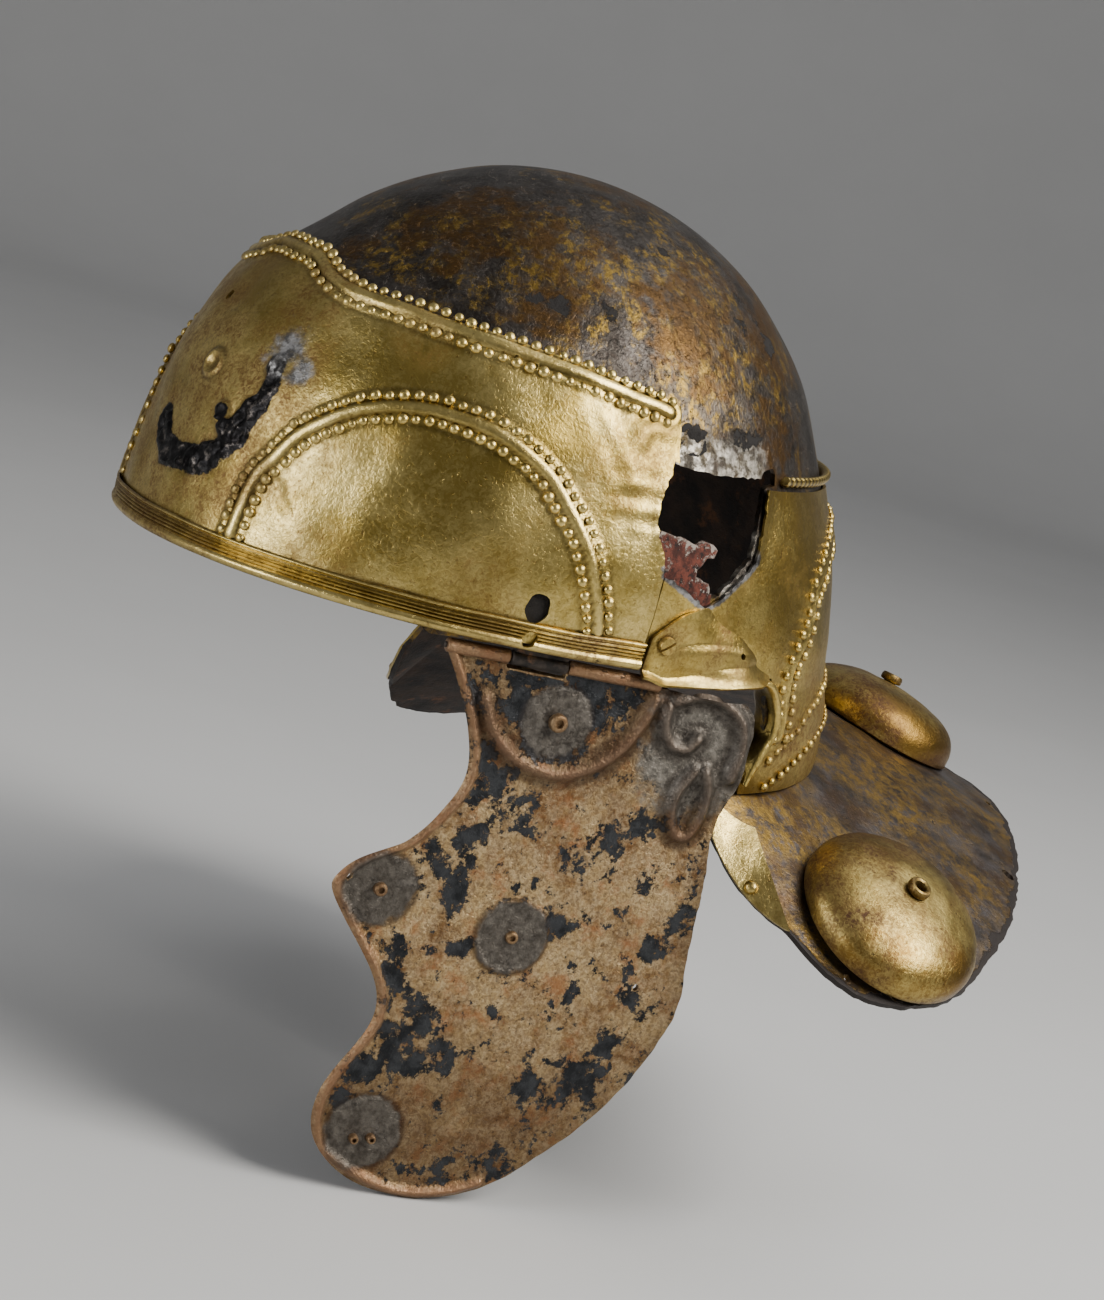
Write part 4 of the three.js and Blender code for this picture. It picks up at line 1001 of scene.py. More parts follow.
for rows in (FRONT_ROLL, [(360 - a, b) for a, b in FRONT_ROLL]):
    spots, outs, beside = walk(cover, rows, 0.8)
    roll, across, up = flat_grid("front_roll", len(spots) - 1, 12)
    step = np.rint(across * (len(spots) - 1)).astype(int)
    turn = up * 2 * np.pi
    taper = (0.55 + 0.45 * smooth(across / 0.15)) * (0.6 + 0.4 * smooth((1 - across) / 0.2))
    turned_in = 7 * smooth(across / 0.3) * smooth((1 - across) / 0.15)
    thick = np.where(np.cos(turn) < 0, turned_in + ROLL_RADIUS * taper, ROLL_RADIUS * taper)
    lift = outs[step] * (0.8 + np.cos(turn) * thick)[:, None]
    shape(roll, spots[step] + lift + beside[step] * (np.sin(turn) * ROLL_RADIUS * taper)[:, None])
    mark(roll, "raised", smooth(np.cos(turn) + 0.6))
    # Painted shade over the inner half of the roll and its turned-in side.
    mark(roll, "hollow_shade", smooth(-np.cos(turn) * 3 + 0.4))
    edit(roll, close_seam, fill_ends)
    roll.data.materials.append(sheath_brass)
    bead_rows.append(roll)
join_to(sheath, bead_rows)
places = points_of(sheath)
low_stain = near(places, [(96, 20, -160, 26), (80, 90, -150, 40), (-80, 90, -140, 50), (0, 108, -110, 40)])
mark(sheath, "stain_and_shade", smooth((low_stain + waves(places, 20, 63) * 0.2) * 1.5))
torn = (places[:, 0] > LEFT_WALL) * smooth((-88 - places[:, 2]) / 5)
mark(sheath, "grey", torn * np.clip(0.5 + (1.6 - from_side(places, tear_line)) / 2.5, 0, 1))
soften(sheath)
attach(sheath, "helmet")
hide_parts("neck_sheath")

# Ear guards
# A brass plate over each ear, with its lower edge curled out. It is held at its front by a slotted
# screw, and a small rivet hole is left at its back.
EAR_TOP = [  # angle, height
    (89.6, -121), (91.3, -115), (93.6, -111), (97, -109), (101, -111.5), (106, -117), (112, -126),
]
EAR_FRONT = 89.6
EAR_SPAN = 21.8
EAR_LIP = -134.4
screw_foot, screw_way = place_on(cover, 91.1, -121.9)


def ear_face(angle, v):
    """The plate's face, from its curled lip at 0 to its top at 1."""
    lip = EAR_LIP + (angle - EAR_FRONT) / 22.4 * 4.8 + 2.2 * smooth((92 - angle) / 2.4)
    share = np.clip(v, -0.2, 1.2)
    z = lip + (curve(EAR_TOP, 1, angle) - lip) * share
    wider = smooth((angle - 91) / 11)
    curl = np.clip(1 - (z - lip) / (2 + 3.8 * wider), 0, 1.2)
    away = (0.5 + 0.55 * wider) * (1 - 0.6 * smooth((angle - 107) / 5))
    sunk = smooth((share - 0.56) / 0.44) * smooth((angle - 93.5) / 6)
    out = 1.5 + 4.0 * curl ** 1.5 * away - 2.2 * sunk
    out = out - 2.2 * smooth((angle - 103) / 8.4) * smooth((z + 132) / 3)
    base = cover(angle, z)
    flat = on_section(angle, z, 1, 1, 1, 2) * (1, 1, 0)
    return base + flat * out[:, None]


def mirror(piece, name):
    """The same piece for the other side, with its own mesh."""
    other = piece.copy()
    other.data = piece.data.copy()
    other.name = name
    other.data.name = name
    bpy.context.collection.objects.link(other)
    other.data.transform(Matrix.Scale(-1, 4, (1, 0, 0)))
    edit(other, lambda: bpy.ops.mesh.flip_normals())
    return other


ear, across, up = flat_grid("left_ear_guard", 70, 60)
angle = EAR_FRONT + EAR_SPAN * across
places = ear_face(angle, up)
outs = facing(ear_face, angle, up)
oval = ((angle - 100.5) / 9) ** 2 + ((places[:, 2] + 125) / 5) ** 2
screw_far = np.linalg.norm(places - screw_foot - screw_way * 1.5, axis=1)
relief = 0.9 * smooth((1.35 - oval) / 1.1) * smooth((109 - angle) / 5) * smooth((screw_far - 3) / 3)
relief += waves(places, 12, 71) * 0.16 * smooth((0.9 - up) / 0.2)
shape(ear, places + outs * relief[:, None])
# Painted shade: a dark line along the front edge for the gap at the band's end, one along the bulge's edge,
# and a ring round the screw.
front_gap_shade = smooth((90.1 - angle) / 0.3)
hollow_shade = [ridge(oval - 1.25, 0.3, 0.3), front_gap_shade, ridge(screw_far - 3.1, 0.8, 1)]
mark(ear, "hollow_shade", np.maximum.reduce(hollow_shade))
mark(ear, "raised", smooth((-130.5 - places[:, 2]) / 2) * 0.8)
ear.data.materials.append(sheath_brass)
ear.data.materials.append(brass_inside)
thicken(ear, SHEET_WALL)
cut_out(ear, hole_along(*place_on(ear_face, 103.4, 0.52), 1.0, 0.12, 72))
soften(ear)
ear_right = mirror(ear, "right_ear_guard")
for piece, node in ((ear, "ear_guard_left"), (ear_right, "ear_guard_right")):
    places = points_of(piece)
    mark(piece, "stain_and_shade", smooth(waves(places, 12, 73) * 0.5 + 0.42) * smooth((places[:, 2] + 132.5) / 2))
    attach(piece, "helmet")
    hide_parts(node)


def turned(name, profile, sides):
    """A piece turned about its own axis, from its foot up; its ends are left open."""
    radius, height = profile[0]
    bpy.ops.object.select_all(action="DESELECT")
    foot = (0, 0, height * MM)
    bpy.ops.mesh.primitive_circle_add(vertices=sides, radius=radius * MM, fill_type="NOTHING", location=foot)
    piece = bpy.context.object
    bpy.ops.object.transform_apply(location=True)
    piece.name = name
    piece.data.name = name
    bpy.ops.object.mode_set(mode="EDIT")
    bpy.ops.mesh.select_all(action="SELECT")
    for wide, high in profile[1:]:
        bpy.ops.mesh.extrude_region_move(TRANSFORM_OT_translate={"value": (0, 0, (high - height) * MM)})
        grow = wide / radius
        bpy.ops.transform.resize(value=(grow, grow, 1), center_override=(0, 0, high * MM))
        radius, height = wide, high
    bpy.ops.object.mode_set(mode="OBJECT")
    return piece


def seat_on(piece, foot, out, spin=0):
    """Stands a turned piece on a point, its axis along the way out."""
    lean = Vector(out).to_track_quat("Z", "Y").to_matrix().to_4x4()
    piece.data.transform(Matrix.Translation(Vector(foot) * MM) @ lean @ Matrix.Rotation(spin, 4, "Z"))


SCREW_PROFILE = [  # radius, height
    (1.5, -1), (2.8, -0.9), (2.8, 0.7), (2.6, 1.0), (1.2, 1.2), (0.4, 1.22),
]
screw = turned("left_ear_screw", SCREW_PROFILE, 32)
edit(screw, fill_ends)
screw.data.materials.append(sheath_brass)
cut_out(screw, prism([(-3, -0.4), (3, -0.4), (3, 0.4), (-3, 0.4)], 0.5, 3))
# Painted shade in the bottom of the slot.
height = points_of(screw)[:, 2]
in_slot = (height < 0.6) & (height > 0.3)
mark(screw, "hollow_shade", in_slot * 1.0)
seat_on(screw, screw_foot + screw_way * 2.1, screw_way, 0.6)
mark(screw, "stain_and_shade", np.full(len(screw.data.vertices), 0.6))
soften(screw, 35)
screw_right = mirror(screw, "right_ear_screw")
for piece, node in ((screw, "ear_screw_left"), (screw_right, "ear_screw_right")):
    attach(piece, "helmet")
    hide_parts(node)

# Neck guard
# A tinned iron plate that flares out below the nape, browned and gilded in places, its rim eaten
# black by rust, with small rivet holes near the rim.
GUARD_EDGE = [  # turn from the back, reach from the neck's axis
    (0, 168), (14, 166), (32, 160), (55, 160), (66, 161), (74, 157), (80, 149), (84, 137),
    (88, 122), (94, 101),
]
GUARD_END = 94


def junction_reach(turn):
    """How far the crease is from the neck's axis."""
    s = np.sin(np.radians(turn)) / 92
    c = np.cos(np.radians(turn)) / 70
    return 1 / np.sqrt(s * s + c * c)


def guard_face(turn, reach):
    """The guard's upper face, which falls more steeply towards its front edges."""
    apart = np.abs(turn)
    slope = 0.27 + 0.35 * (apart / 68) ** 2 + 0.06 * np.clip(apart - 86, 0, 12)
    drop = slope * np.maximum(reach - junction_reach(turn), 0)
    x = reach * np.sin(np.radians(turn))
    y = NECK_AXIS + reach * np.cos(np.radians(turn))
    return np.stack([x, y, junction_z(turn) - drop], -1)


guard_tin, tree = start_finish("guard_tin")
height, pebbles = skin_of(tree, 8, 1.3, 0.7)
tin = mottled(tree, (0.046, 0.039, 0.036), (0.12, 0.105, 0.102), Size=12, Share=0.5, Edge=0.14, Place=31)
film = use(tree, patches, Size=40, Share=0.45, Edge=0.1, Place=33, Grain=0.7)
flecks = use(tree, patches, Size=4, Share=0.55, Edge=0.1, Place=35, Grain=0.75)
gilt = most(tree, film, kept(tree, "gilt"))
colour = tint(tree, part(tree, gilt, flecks), tin, (0.27, 0.165, 0.035))
brown = use(tree, patches, Size=22, Share=0.36, Edge=0.09, Place=37, Grain=0.68)
colour = wash(tree, colour, brown, 0.8, (0.075, 0.04, 0.016))
colour = wash(tree, colour, rest_of(tree, pebbles), 0.3, (0.03, 0.02, 0.012))
eaten = crumble(tree, "eaten", 4, 1.0)
specks = use(tree, patches, Size=6, Share=0.16, Edge=0.03, Place=39, Grain=0.7)
eaten = most(tree, eaten, specks)
colour = tint(tree, eaten, colour, (0.018, 0.013, 0.011))
gloss = raised_by(tree, 0.42, eaten, 0.25)
metal = sum_of(tree, "SUBTRACT", 0.85, part(tree, eaten, 0.5))
height = sum_of(tree, "SUBTRACT", height, eaten)
end_finish(tree, colour, gloss, metal, height, 0.3)

guard, across, up = flat_grid("tinned_neck_guard", 330, 90)
turn = (across * 2 - 1) * GUARD_END
inner = junction_reach(turn) - 2.4 - 3.5 * smooth((np.abs(turn) - 66) / 14)
outer = curve(GUARD_EDGE, 1, np.abs(turn))
rim = guard_face(turn, outer)
bitten = waves(rim, 9, 81) * 0.35 + waves(rim, 3, 82) * 0.25 - smooth((waves(rim, 14, 83) - 1.0) * 2) * 1.5
outer = outer - 0.6 + bitten
reach = inner + (outer - inner) * up
places = guard_face(turn, reach)
outs = facing(guard_face, turn, reach)
relief = (waves(places, 40, 84) * 0.5 + waves(places, 15, 85) * 0.2) * smooth((up - 0.04) / 0.1)
edge_far = outer - reach
relief += ridge(edge_far - 1.2, 1.6, 0.25)
mark(guard, "eaten", 0.5 + (2.2 + waves(places, 9, 86) * 1.2 - edge_far) / 6)
shape(guard, places + outs * relief[:, None])
guard.data.materials.append(guard_tin)
guard.data.materials.append(rusted_iron)
thicken(guard, SKULL_WALL)
GUARD_HOLES = [(58, 152, 2.1), (36, 155, 2.1), (80, 144, 1.2), (14, 161, 1.4)]  # turn, reach, radius
for hole_turn, hole_reach, radius in GUARD_HOLES:
    cut_out(guard, hole_along(*place_on(guard_face, hole_turn, hole_reach), radius, 0.2, hole_turn))
places = points_of(guard)
gilded = near(places, [(98, 55, -172, 34), (96, 74, -165, 36), (-98, 60, -172, 40), (40, 150, -165, 30)])
mark(guard, "gilt", smooth((gilded + waves(places, 16, 87) * 0.2) * 1.8))
soften(guard)
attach(guard, "helmet")
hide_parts("neck_guard")

# Guard edges
# A bright brass strip over each front edge of the guard, held by a rivet at its outer end.
edge_strip, across, up = flat_grid("left_guard_edge", 24, 60)
turn = 86 + 8 * across
inner = junction_reach(turn) - 2.4
outer = curve(GUARD_EDGE, 1, turn) - 0.3
reach = inner + (outer - inner) * (0.3 + 0.7 * up)
places = guard_face(turn, reach)
outs = facing(guard_face, turn, reach)
shape(edge_strip, places + outs * (1.35 + waves(places, 9, 91) * 0.12)[:, None])
mark(edge_strip, "raised", np.full(len(places), 0.6))
edge_strip.data.materials.append(rim_brass)
edge_strip.data.materials.append(brass_inside)
thicken(edge_strip, SHEET_WALL)
RIVET_PROFILE = [  # radius, height
    (1.6, -0.6), (2.2, -0.5), (2.2, 0.5), (1.7, 1.3), (0.9, 1.7), (0.2, 1.8),
]
rivet = turned("rivet", RIVET_PROFILE, 20)
edit(rivet, fill_ends)
rivet_foot, rivet_way = place_on(guard_face, 89, 114)
seat_on(rivet, rivet_foot + rivet_way * 1.5, rivet_way)
rivet.data.materials.append(rim_brass)
join_to(edge_strip, [rivet])
soften(edge_strip, 45)
edge_right = mirror(edge_strip, "right_guard_edge")
for piece, node in ((edge_strip, "guard_edge_left"), (edge_right, "guard_edge_right")):
    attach(piece, "helmet")
    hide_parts(node)

# Bosses
# Three hollow brass bosses on the guard, beaten from thin sheet and gilded, now brown in patches and darkened
# with painted shade on one side and round the foot.
# Each is held by a tubular stud through its middle, spread into a collar. The back one's rim is
# dressed down to the plate.
BOSS_RADIUS = 31
BOSS_WALL = 1.4
BOSS_RISE = 13
BOSS_SHOULDER = 3
BOSSES = [  # place, turn, reach, how far its rim is dressed down
    ("left", 69, 134, 0.3),
    ("back", 0, 126, 1),
    ("right", -69, 134, 0.3),
]
STUD_PROFILE = [  # radius, height
    (2.2, 0.1), (2.2, 17.6), (3.5, 17.8), (3.9, 18.3), (3.9, 19.6), (3.5, 20.4), (2.8, 20.6), (2.1, 20.2),
    (1.8, 19.2), (1.6, 17.5), (0.5, 17.2),
]
boss_gilt = brass_finish(
    "boss_gilt", (0.50, 0.38, 0.125), (0.18, 0.105, 0.024), (0.062, 0.026, 0.010), 0.5, 6, 0.36,
)
for place, turn, reach, dressed in BOSSES:
    foot, out = place_on(guard_face, turn, reach)
    foot = foot + out * 0.4
    rising = np.linspace(0, 84, 26)
    outer = [
        (BOSS_RADIUS * np.cos(np.radians(t)), BOSS_SHOULDER + BOSS_RISE * np.sin(np.radians(t)))
        for t in rising
    ]
    inner = [
        (r - BOSS_WALL * np.cos(np.radians(t)), h - BOSS_WALL * np.sin(np.radians(t)))
        for (r, h), t in zip(outer, rising)
    ]
    rim_rows = [(BOSS_RADIUS - 0.6, 0.1), (BOSS_RADIUS, 0.6), (BOSS_RADIUS, 1.8)]
    foot_rows = [(BOSS_RADIUS - BOSS_WALL, 0.1), (BOSS_RADIUS - 0.6, 0.1)]
    profile = [*rim_rows, *outer, *inner[::-1], *foot_rows]
    boss = turned(f"{place}_boss", profile, 88)
    edit(boss, close_seam, face_out)
    seat_on(boss, foot + out * 1.5, out)
    places = points_of(boss)
    from_foot = (places - foot) @ out
    across = places - foot - np.outer(from_foot, out)
    ways = across + np.outer(from_foot, out)
    ways /= np.linalg.norm(ways, axis=1, keepdims=True)
    dents = waves(places, 22, 100 + len(place)) * 0.32 + waves(places, 9, 104 + len(place)) * 0.12
    dents *= smooth((from_foot - 4) / 5) * smooth((np.linalg.norm(across, axis=1) - 4) / 5)
    flat = places - np.outer(from_foot, out)
    from_axis = flat[:, 1] - NECK_AXIS
    under = guard_face(np.degrees(np.arctan2(flat[:, 0], from_axis)), np.hypot(flat[:, 0], from_axis))
    gap = (flat[:, 2] - under[:, 2] + 1.2) * dressed * smooth(1 - from_foot / 15)
    shape(boss, places + ways * dents[:, None] - np.outer(gap, out))
    spot = foot + out * 14 + np.array([8, 6, 4])
    lower = smooth((9 - from_foot) / 9)
    # Painted shade: each boss is stained more on the side towards the front, the wearer's right and the top.
    shaded_side = 0.45 * smooth(((places - foot) @ (-0.5, -0.7, 0.5) + 6) / 26)
    stained_and_shaded = lower * 0.5 + waves(places, 20, 107) * 0.7 + 0.25 + shaded_side
    mark(boss, "stain_and_shade", smooth(stained_and_shaded + near(places, [(*spot, 14)]) * 0.2))
    mark(boss, "raised", smooth((from_foot - 15) / 4))
    # Painted shade round the foot, where the rim meets the guard.
    mark(boss, "hollow_shade", smooth((2.6 - from_foot) / 1.5) * 0.7)
    boss.data.materials.append(boss_gilt)
    soften(boss, 50)
    stud = turned(f"{place}_boss_stud", STUD_PROFILE, 32)
    edit(stud, fill_ends)
    seat_on(stud, foot, out)
    places = points_of(stud)
    from_foot = (places - foot) @ out
    mark(stud, "raised", smooth((from_foot - 20) / 0.6) * 0.5)
    # Painted shade over the stud below its collar; the rest is darkened a little as well.
    mark(stud, "hollow_shade", 0.35 + 0.65 * smooth((17.9 - from_foot) / 1))
    mark(stud, "stain_and_shade", np.ones(len(places)))
    stud.data.materials.append(boss_gilt)
    soften(stud, 40)
    for piece, node in ((boss, f"guard_boss_{place}"), (stud, f"boss_stud_{place}")):
        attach(piece, "helmet")
        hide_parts(node)

# Hinge
# An iron knuckle on a leaf inside the skull, a pin through it, and the cheek piece's own two tubes.
HINGE_START = np.array([84.5, -59, -135])
HINGE_TURN = np.radians(12.04)
hinge_along = np.array([np.sin(HINGE_TURN), np.cos(HINGE_TURN), 0])
hinge_out = np.array([hinge_along[1], -hinge_along[0], 0])
TUBE_RADIUS = 2.3
PIN_RADIUS = 0.9
KNUCKLE_FROM = 20  # along the pin
KNUCKLE_TO = 39
HINGE_END = 69.5


def on_hinge(along):
    """A point on the hinge's axis."""
    return HINGE_START + hinge_along * along


def rod(name, start, end, radius, sides=24, cuts=8):
    """A round bar between two points, with rounded rims."""
    way = np.array(end) - np.array(start)
    length = np.linalg.norm(way)
    rounded = radius * 0.16
    steps = np.linspace(rounded, length - rounded, cuts)
    profile = [(radius - rounded, 0), *[(radius, h) for h in steps], (radius - rounded, length)]
    piece = turned(name, profile, sides)
    edit(piece, fill_ends)
    seat_on(piece, start, way / length)
    return piece


dark_iron, tree = start_finish("dark_iron")
colour = mottled(tree, (0.012, 0.010, 0.009), (0.06, 0.045, 0.035), Size=4, Share=0.5, Edge=0.15)
worn = use(tree, patches, Size=6, Share=0.25, Edge=0.06, Place=4)
colour = tint(tree, worn, colour, (0.16, 0.08, 0.04))
end_finish(tree, colour, 0.55, 0.5, skin_of(tree, 3, 0.8, 0.6)[0], 0.25)
leaf = rod("hinge_knuckle", on_hinge(20.4), on_hinge(38.6), TUBE_RADIUS)
plate, across, up = flat_grid("leaf_plate", 18, 26)
along = 20.9 + 17.2 * across
height = 1.0 + 21 * up
out = 1.3 - 0.1 * up + waves(np.column_stack([along, height, 0 * along]), 12, 111) * 0.1
raised = np.outer(height, (0, 0, 1))
shape(plate, HINGE_START + np.outer(along, hinge_along) + np.outer(out, hinge_out) + raised)
thicken(plate, 1.4)
join_to(leaf, [plate])
leaf.data.materials.clear()
leaf.data.materials.append(dark_iron)
soften(leaf)
pin = rod("hinge_pin", on_hinge(-0.6), on_hinge(70.1), PIN_RADIUS, 14, 4)
pin.data.materials.append(dark_iron)
soften(pin)
for piece, node in ((leaf, "cheek_hinge_leaf"), (pin, "cheek_pin")):
    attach(piece, "helmet")
    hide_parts(node)

# Cheek piece
# An iron plate under a thin copper sheath, now brown and flaked over black iron. A crescent, a
# scroll and a leaf are beaten up in it, its front edge is rolled, and solder discs carry its studs.
CHEEK_LENGTH = 174
CHEEK_WALL = 2
CHEEK_FRONT = [  # depth below the hinge, along it
    (1, 0.4), (10, 6), (24, 13.4), (37, 16.6), (47, 13.4), (60, 3.9), (67.5, -8.5), (73, -13.6),
    (77.5, -15), (84, -11), (100, 2.6), (108, 7.6), (115, 9.1), (122, 7.7), (139, -0.1),
    (149, -1.3), (157, 0.9), (163, 5.8), (169, 14), (172.6, 24), (174, 35),
]
CHEEK_REAR = [  # depth below the hinge, along it
    (1, 99.5), (4, 102.8), (9, 104.3), (14, 104.6), (24, 104.6), (41, 100.8), (60, 103),
    (85, 104.6), (94, 106), (104, 105.5), (114, 102.8), (127, 97), (140, 89), (156, 74.7),
    (165, 64.6), (171, 53), (174, 40),
]
CRESCENT = [  # along, depth
    (16, 14), (22, 24), (30, 30), (37, 32.2), (45, 32.6), (54, 29), (62, 22), (67, 13), (69.5, 5),
]
SCROLL = [  # along, depth
    (74, 6), (74.5, 12), (78, 17), (83, 17.5), (86, 14),
]
SCROLL_TOP = [  # along, depth
    (76, 4), (83, 0.8), (91, 1.5), (98, 6), (101, 14), (100, 24),
]
LEAF = [  # along, depth
    (88, 24), (84.5, 31), (84.5, 38), (87.5, 44.5), (92, 44), (94.5, 37), (94, 29), (91.5, 23.5),
]
DISCS = [  # along, depth, radius of the solder, radius and height of its stud
    (40.5, 17, 11, 2.3, 2.2),
    (45, 85, 11.5, 1.6, 1.8),
    (0, 76.5, 11.5, 1.7, 1.8),
    (16.5, 154, 12, 1.2, 2.2),
]
DARK_PATCHES = [  # along, depth, radius
    (9, 8, 7), (13, 19, 8), (18, 29, 9), (23, 38, 9), (28, 118, 7), (24, 130, 8), (20, 112, 6),
    (84, 62, 6), (92, 80, 6), (32, 45, 11), (24, 60, 10), (14, 68, 9), (26, 40, 10), (9, 104, 7),
    (17, 123, 9), (12, 134, 9), (9, 143, 6), (34, 126, 7), (42, 164, 7), (62, 160, 9),
    (78, 130, 12), (86, 120, 9), (88, 98, 6), (68, 50, 7), (76, 45, 8), (23, 73, 9), (60, 80, 5),
    (20, 35, 7), (30, 12, 12), (52, 8, 12), (40, 24, 12), (12, 112, 5), (66, 133, 8), (98, 60, 5),
    (100, 70, 5), (57, 60, 5), (30, 92, 4), (70, 100, 4), (48, 110, 4),
]


def cheek_face(along, depth):
    """The plate's outer face, which curves in a little towards its foot."""
    sag = -0.2 - 7 * (depth / CHEEK_LENGTH) ** 2
    drop = np.outer(depth, (0, 0, -1))
    return HINGE_START + np.outer(along, hinge_along) + np.outer(sag, hinge_out) + drop


def cheek_out(along, depth):
    return -facing(cheek_face, along, depth)


def on_plate(rows):
    """A line on the cheek piece, as points along and down it."""
    table = [(i, *row) for i, row in enumerate(rows)]
    fine = np.linspace(0, len(rows) - 1, len(rows) * 16)
    return np.column_stack([curve(table, 1, fine), curve(table, 2, fine), 0 * fine])


cheek_copper, tree = start_finish("cheek_copper")
height, pebbles = skin_of(tree, 5, 1.1, 1.1)
copper = mottled(
    tree, (0.17, 0.086, 0.030), (0.46, 0.325, 0.155), Size=14, Share=0.5, Edge=0.16, Place=51, Grain=0.7,
)
bright = use(tree, patches, Size=3, Share=0.5, Edge=0.12, Place=53, Grain=0.75)
copper = wash(tree, copper, bright, 0.45, (0.62, 0.49, 0.30))
copper = wash(tree, copper, rest_of(tree, pebbles), 0.5, (0.075, 0.036, 0.018))
rusty = use(tree, patches, Size=10, Share=0.3, Edge=0.1, Place=61, Grain=0.7)
copper = wash(tree, copper, rusty, 0.7, (0.30, 0.115, 0.04))
wrinkles = use(tree, patches, Size=1.8, Share=0.24, Edge=0.04, Place=63, Grain=0.7)
copper = wash(tree, copper, wrinkles, 0.7, (0.045, 0.022, 0.012))
# The dull mark is dull tarnish and painted shade, darker at the top, the foot and the rear edge.
copper = wash(tree, copper, kept(tree, "dull"), 0.72, (0.062, 0.034, 0.018))
ridge_wear_and_highlight = kept(tree, "raised")
copper = wash(tree, copper, ridge_wear_and_highlight, 0.6, (0.27, 0.125, 0.055))
# Painted shade in the hollows beside the beaten forms and round the discs.
hollow_shade = kept(tree, "hollow_shade")
copper = wash(tree, copper, hollow_shade, 0.7, (0.05, 0.022, 0.012))
iron = mottled(tree, (0.007, 0.008, 0.0095), (0.030, 0.032, 0.035), Size=5, Share=0.5, Edge=0.12, Place=55)
flaked = crumble(tree, "flaked", 8, 2.6, 0.05)
crackle = use(tree, patches, Size=3.4, Share=0.22, Edge=0.03, Place=59, Grain=0.78)
flaked = most(tree, flaked, part(tree, crackle, 0.85))
colour = tint(tree, flaked, copper, iron)
grey = crumble(tree, "grey", 6, 0.9, 0.14)
greyed = mottled(
    tree, (0.070, 0.063, 0.053), (0.225, 0.205, 0.175), Size=3, Share=0.5, Edge=0.2, Place=57, Grain=0.7,
)
colour = tint(tree, grey, colour, greyed)
# Painted shade in the hollows again, and a painted grey highlight on the ridges.
colour = wash(tree, colour, hollow_shade, 0.6, (0.022, 0.014, 0.010))
colour = wash(tree, colour, ridge_wear_and_highlight, 0.3, (0.20, 0.14, 0.10))
gloss = raised_by(tree, 0.46, flaked, -0.1)
metal = sum_of(tree, "SUBTRACT", 0.8, part(tree, flaked, 0.4))
height = sum_of(tree, "SUBTRACT", height, part(tree, flaked, 0.9))
end_finish(tree, colour, gloss, metal, height, 0.34, 0.3)

cheek, across, up = flat_grid("copper_cheek_piece", 150, 205)
depth = 1 + (CHEEK_LENGTH - 1) * (1 - up)
depth = np.where(depth > 150, 150 + 24 * np.sin((depth - 150) / 24 * np.pi / 2), depth)
front = curve(CHEEK_FRONT, 1, depth)
rear = curve(CHEEK_REAR, 1, depth)
plain = cheek_face(front, depth)
rear = rear - 0.4 + waves(plain, 7, 121) * 0.25 - smooth((waves(plain, 11, 122) - 0.9) * 2) * 1.2
along = front + (rear - front) * across
places = cheek_face(along, depth)
outs = cheek_out(along, depth)
flat = np.column_stack([along, depth, 0 * along])
roll_at_foot = [(25, 170.4), (36, 171.9), (48, 170), (58, 166)]
roll_line = on_plate([(a + 1.9, d) for d, a in CHEEK_FRONT[:-3]] + roll_at_foot)
rolled = ridge(distance_to(flat, roll_line), 2.6, 2.0)
to_crescent = distance_to(flat, on_plate(CRESCENT))
to_scroll = np.minimum(distance_to(flat, on_plate(SCROLL)), distance_to(flat, on_plate(SCROLL_TOP)))
to_leaf = distance_to(flat, on_plate(LEAF))
raised = [rolled, ridge(to_crescent, 3.6, 2.2), ridge(to_scroll, 3.6, 3.0), ridge(to_leaf, 3.2, 2.6)]
relief = np.maximum.reduce(raised)
inside_crescent = smooth((1 - ((along - 43) / 25) ** 2 - ((depth - 4) / 27) ** 2) * 2)
relief -= inside_crescent * 0.5
relief += waves(places, 40, 123) * 0.35 + waves(places, 14, 124) * 0.18
relief += smooth((along - 92) / 10) * smooth((52 - depth) / 20) * waves(places, 11, 125) * 0.5
grey = (1 - ((along - 88) / 26) ** 2 - ((depth - 16) / 30) ** 2) * 0.7 + 0.2
grey = np.clip(grey + waves(places, 10, 126) * 0.08, 0, 0.78)
disc_grey = np.zeros(len(places))
# Painted shade: the hollows beside the crescent, scroll and leaf, and round the discs.
hollow_shade = [ridge(to_crescent - 4, 1.8, 0.6), ridge(to_scroll - 4, 2.2, 0.8), ridge(to_leaf - 3.8, 1.8, 0.7)]
hollow_shade = np.maximum.reduce(hollow_shade)
for disc_along, disc_depth, radius, _, _ in DISCS:
    far = np.hypot(along - disc_along, depth - disc_depth)
    ragged_radius = radius + waves(places, 5, 127) * 0.5
    disc_grey = np.maximum(disc_grey, 0.5 + (ragged_radius - far) / 6)
    relief += smooth((ragged_radius - far) / 1.4) * (0.45 + waves(places, 2.6, 128) * 0.16)
    hollow_shade = np.maximum(hollow_shade, ridge(far - radius - 0.6, 1.1, 0.7))
ring_far = np.abs(np.hypot(along - 45, depth - 85) - 11.3)
relief += ridge(ring_far, 1.5, 0.9)
flaked = np.zeros(len(places))
for patch_along, patch_depth, radius in DARK_PATCHES:
    far = np.hypot(along - patch_along, depth - patch_depth)
    flaked = np.maximum(flaked, smooth(1.1 - far / radius / 1.4))
flaked = flaked * 0.34 + 0.27 + waves(places, 14, 129) * 0.06 + inside_crescent * 0.14
flaked -= ridge(to_crescent, 4, 0.3) + rolled * 0.12 + ridge(to_scroll, 3.2, 0.2)
mark(cheek, "flaked", np.clip(flaked, 0, 1))
mark(cheek, "grey", np.maximum(grey, disc_grey))
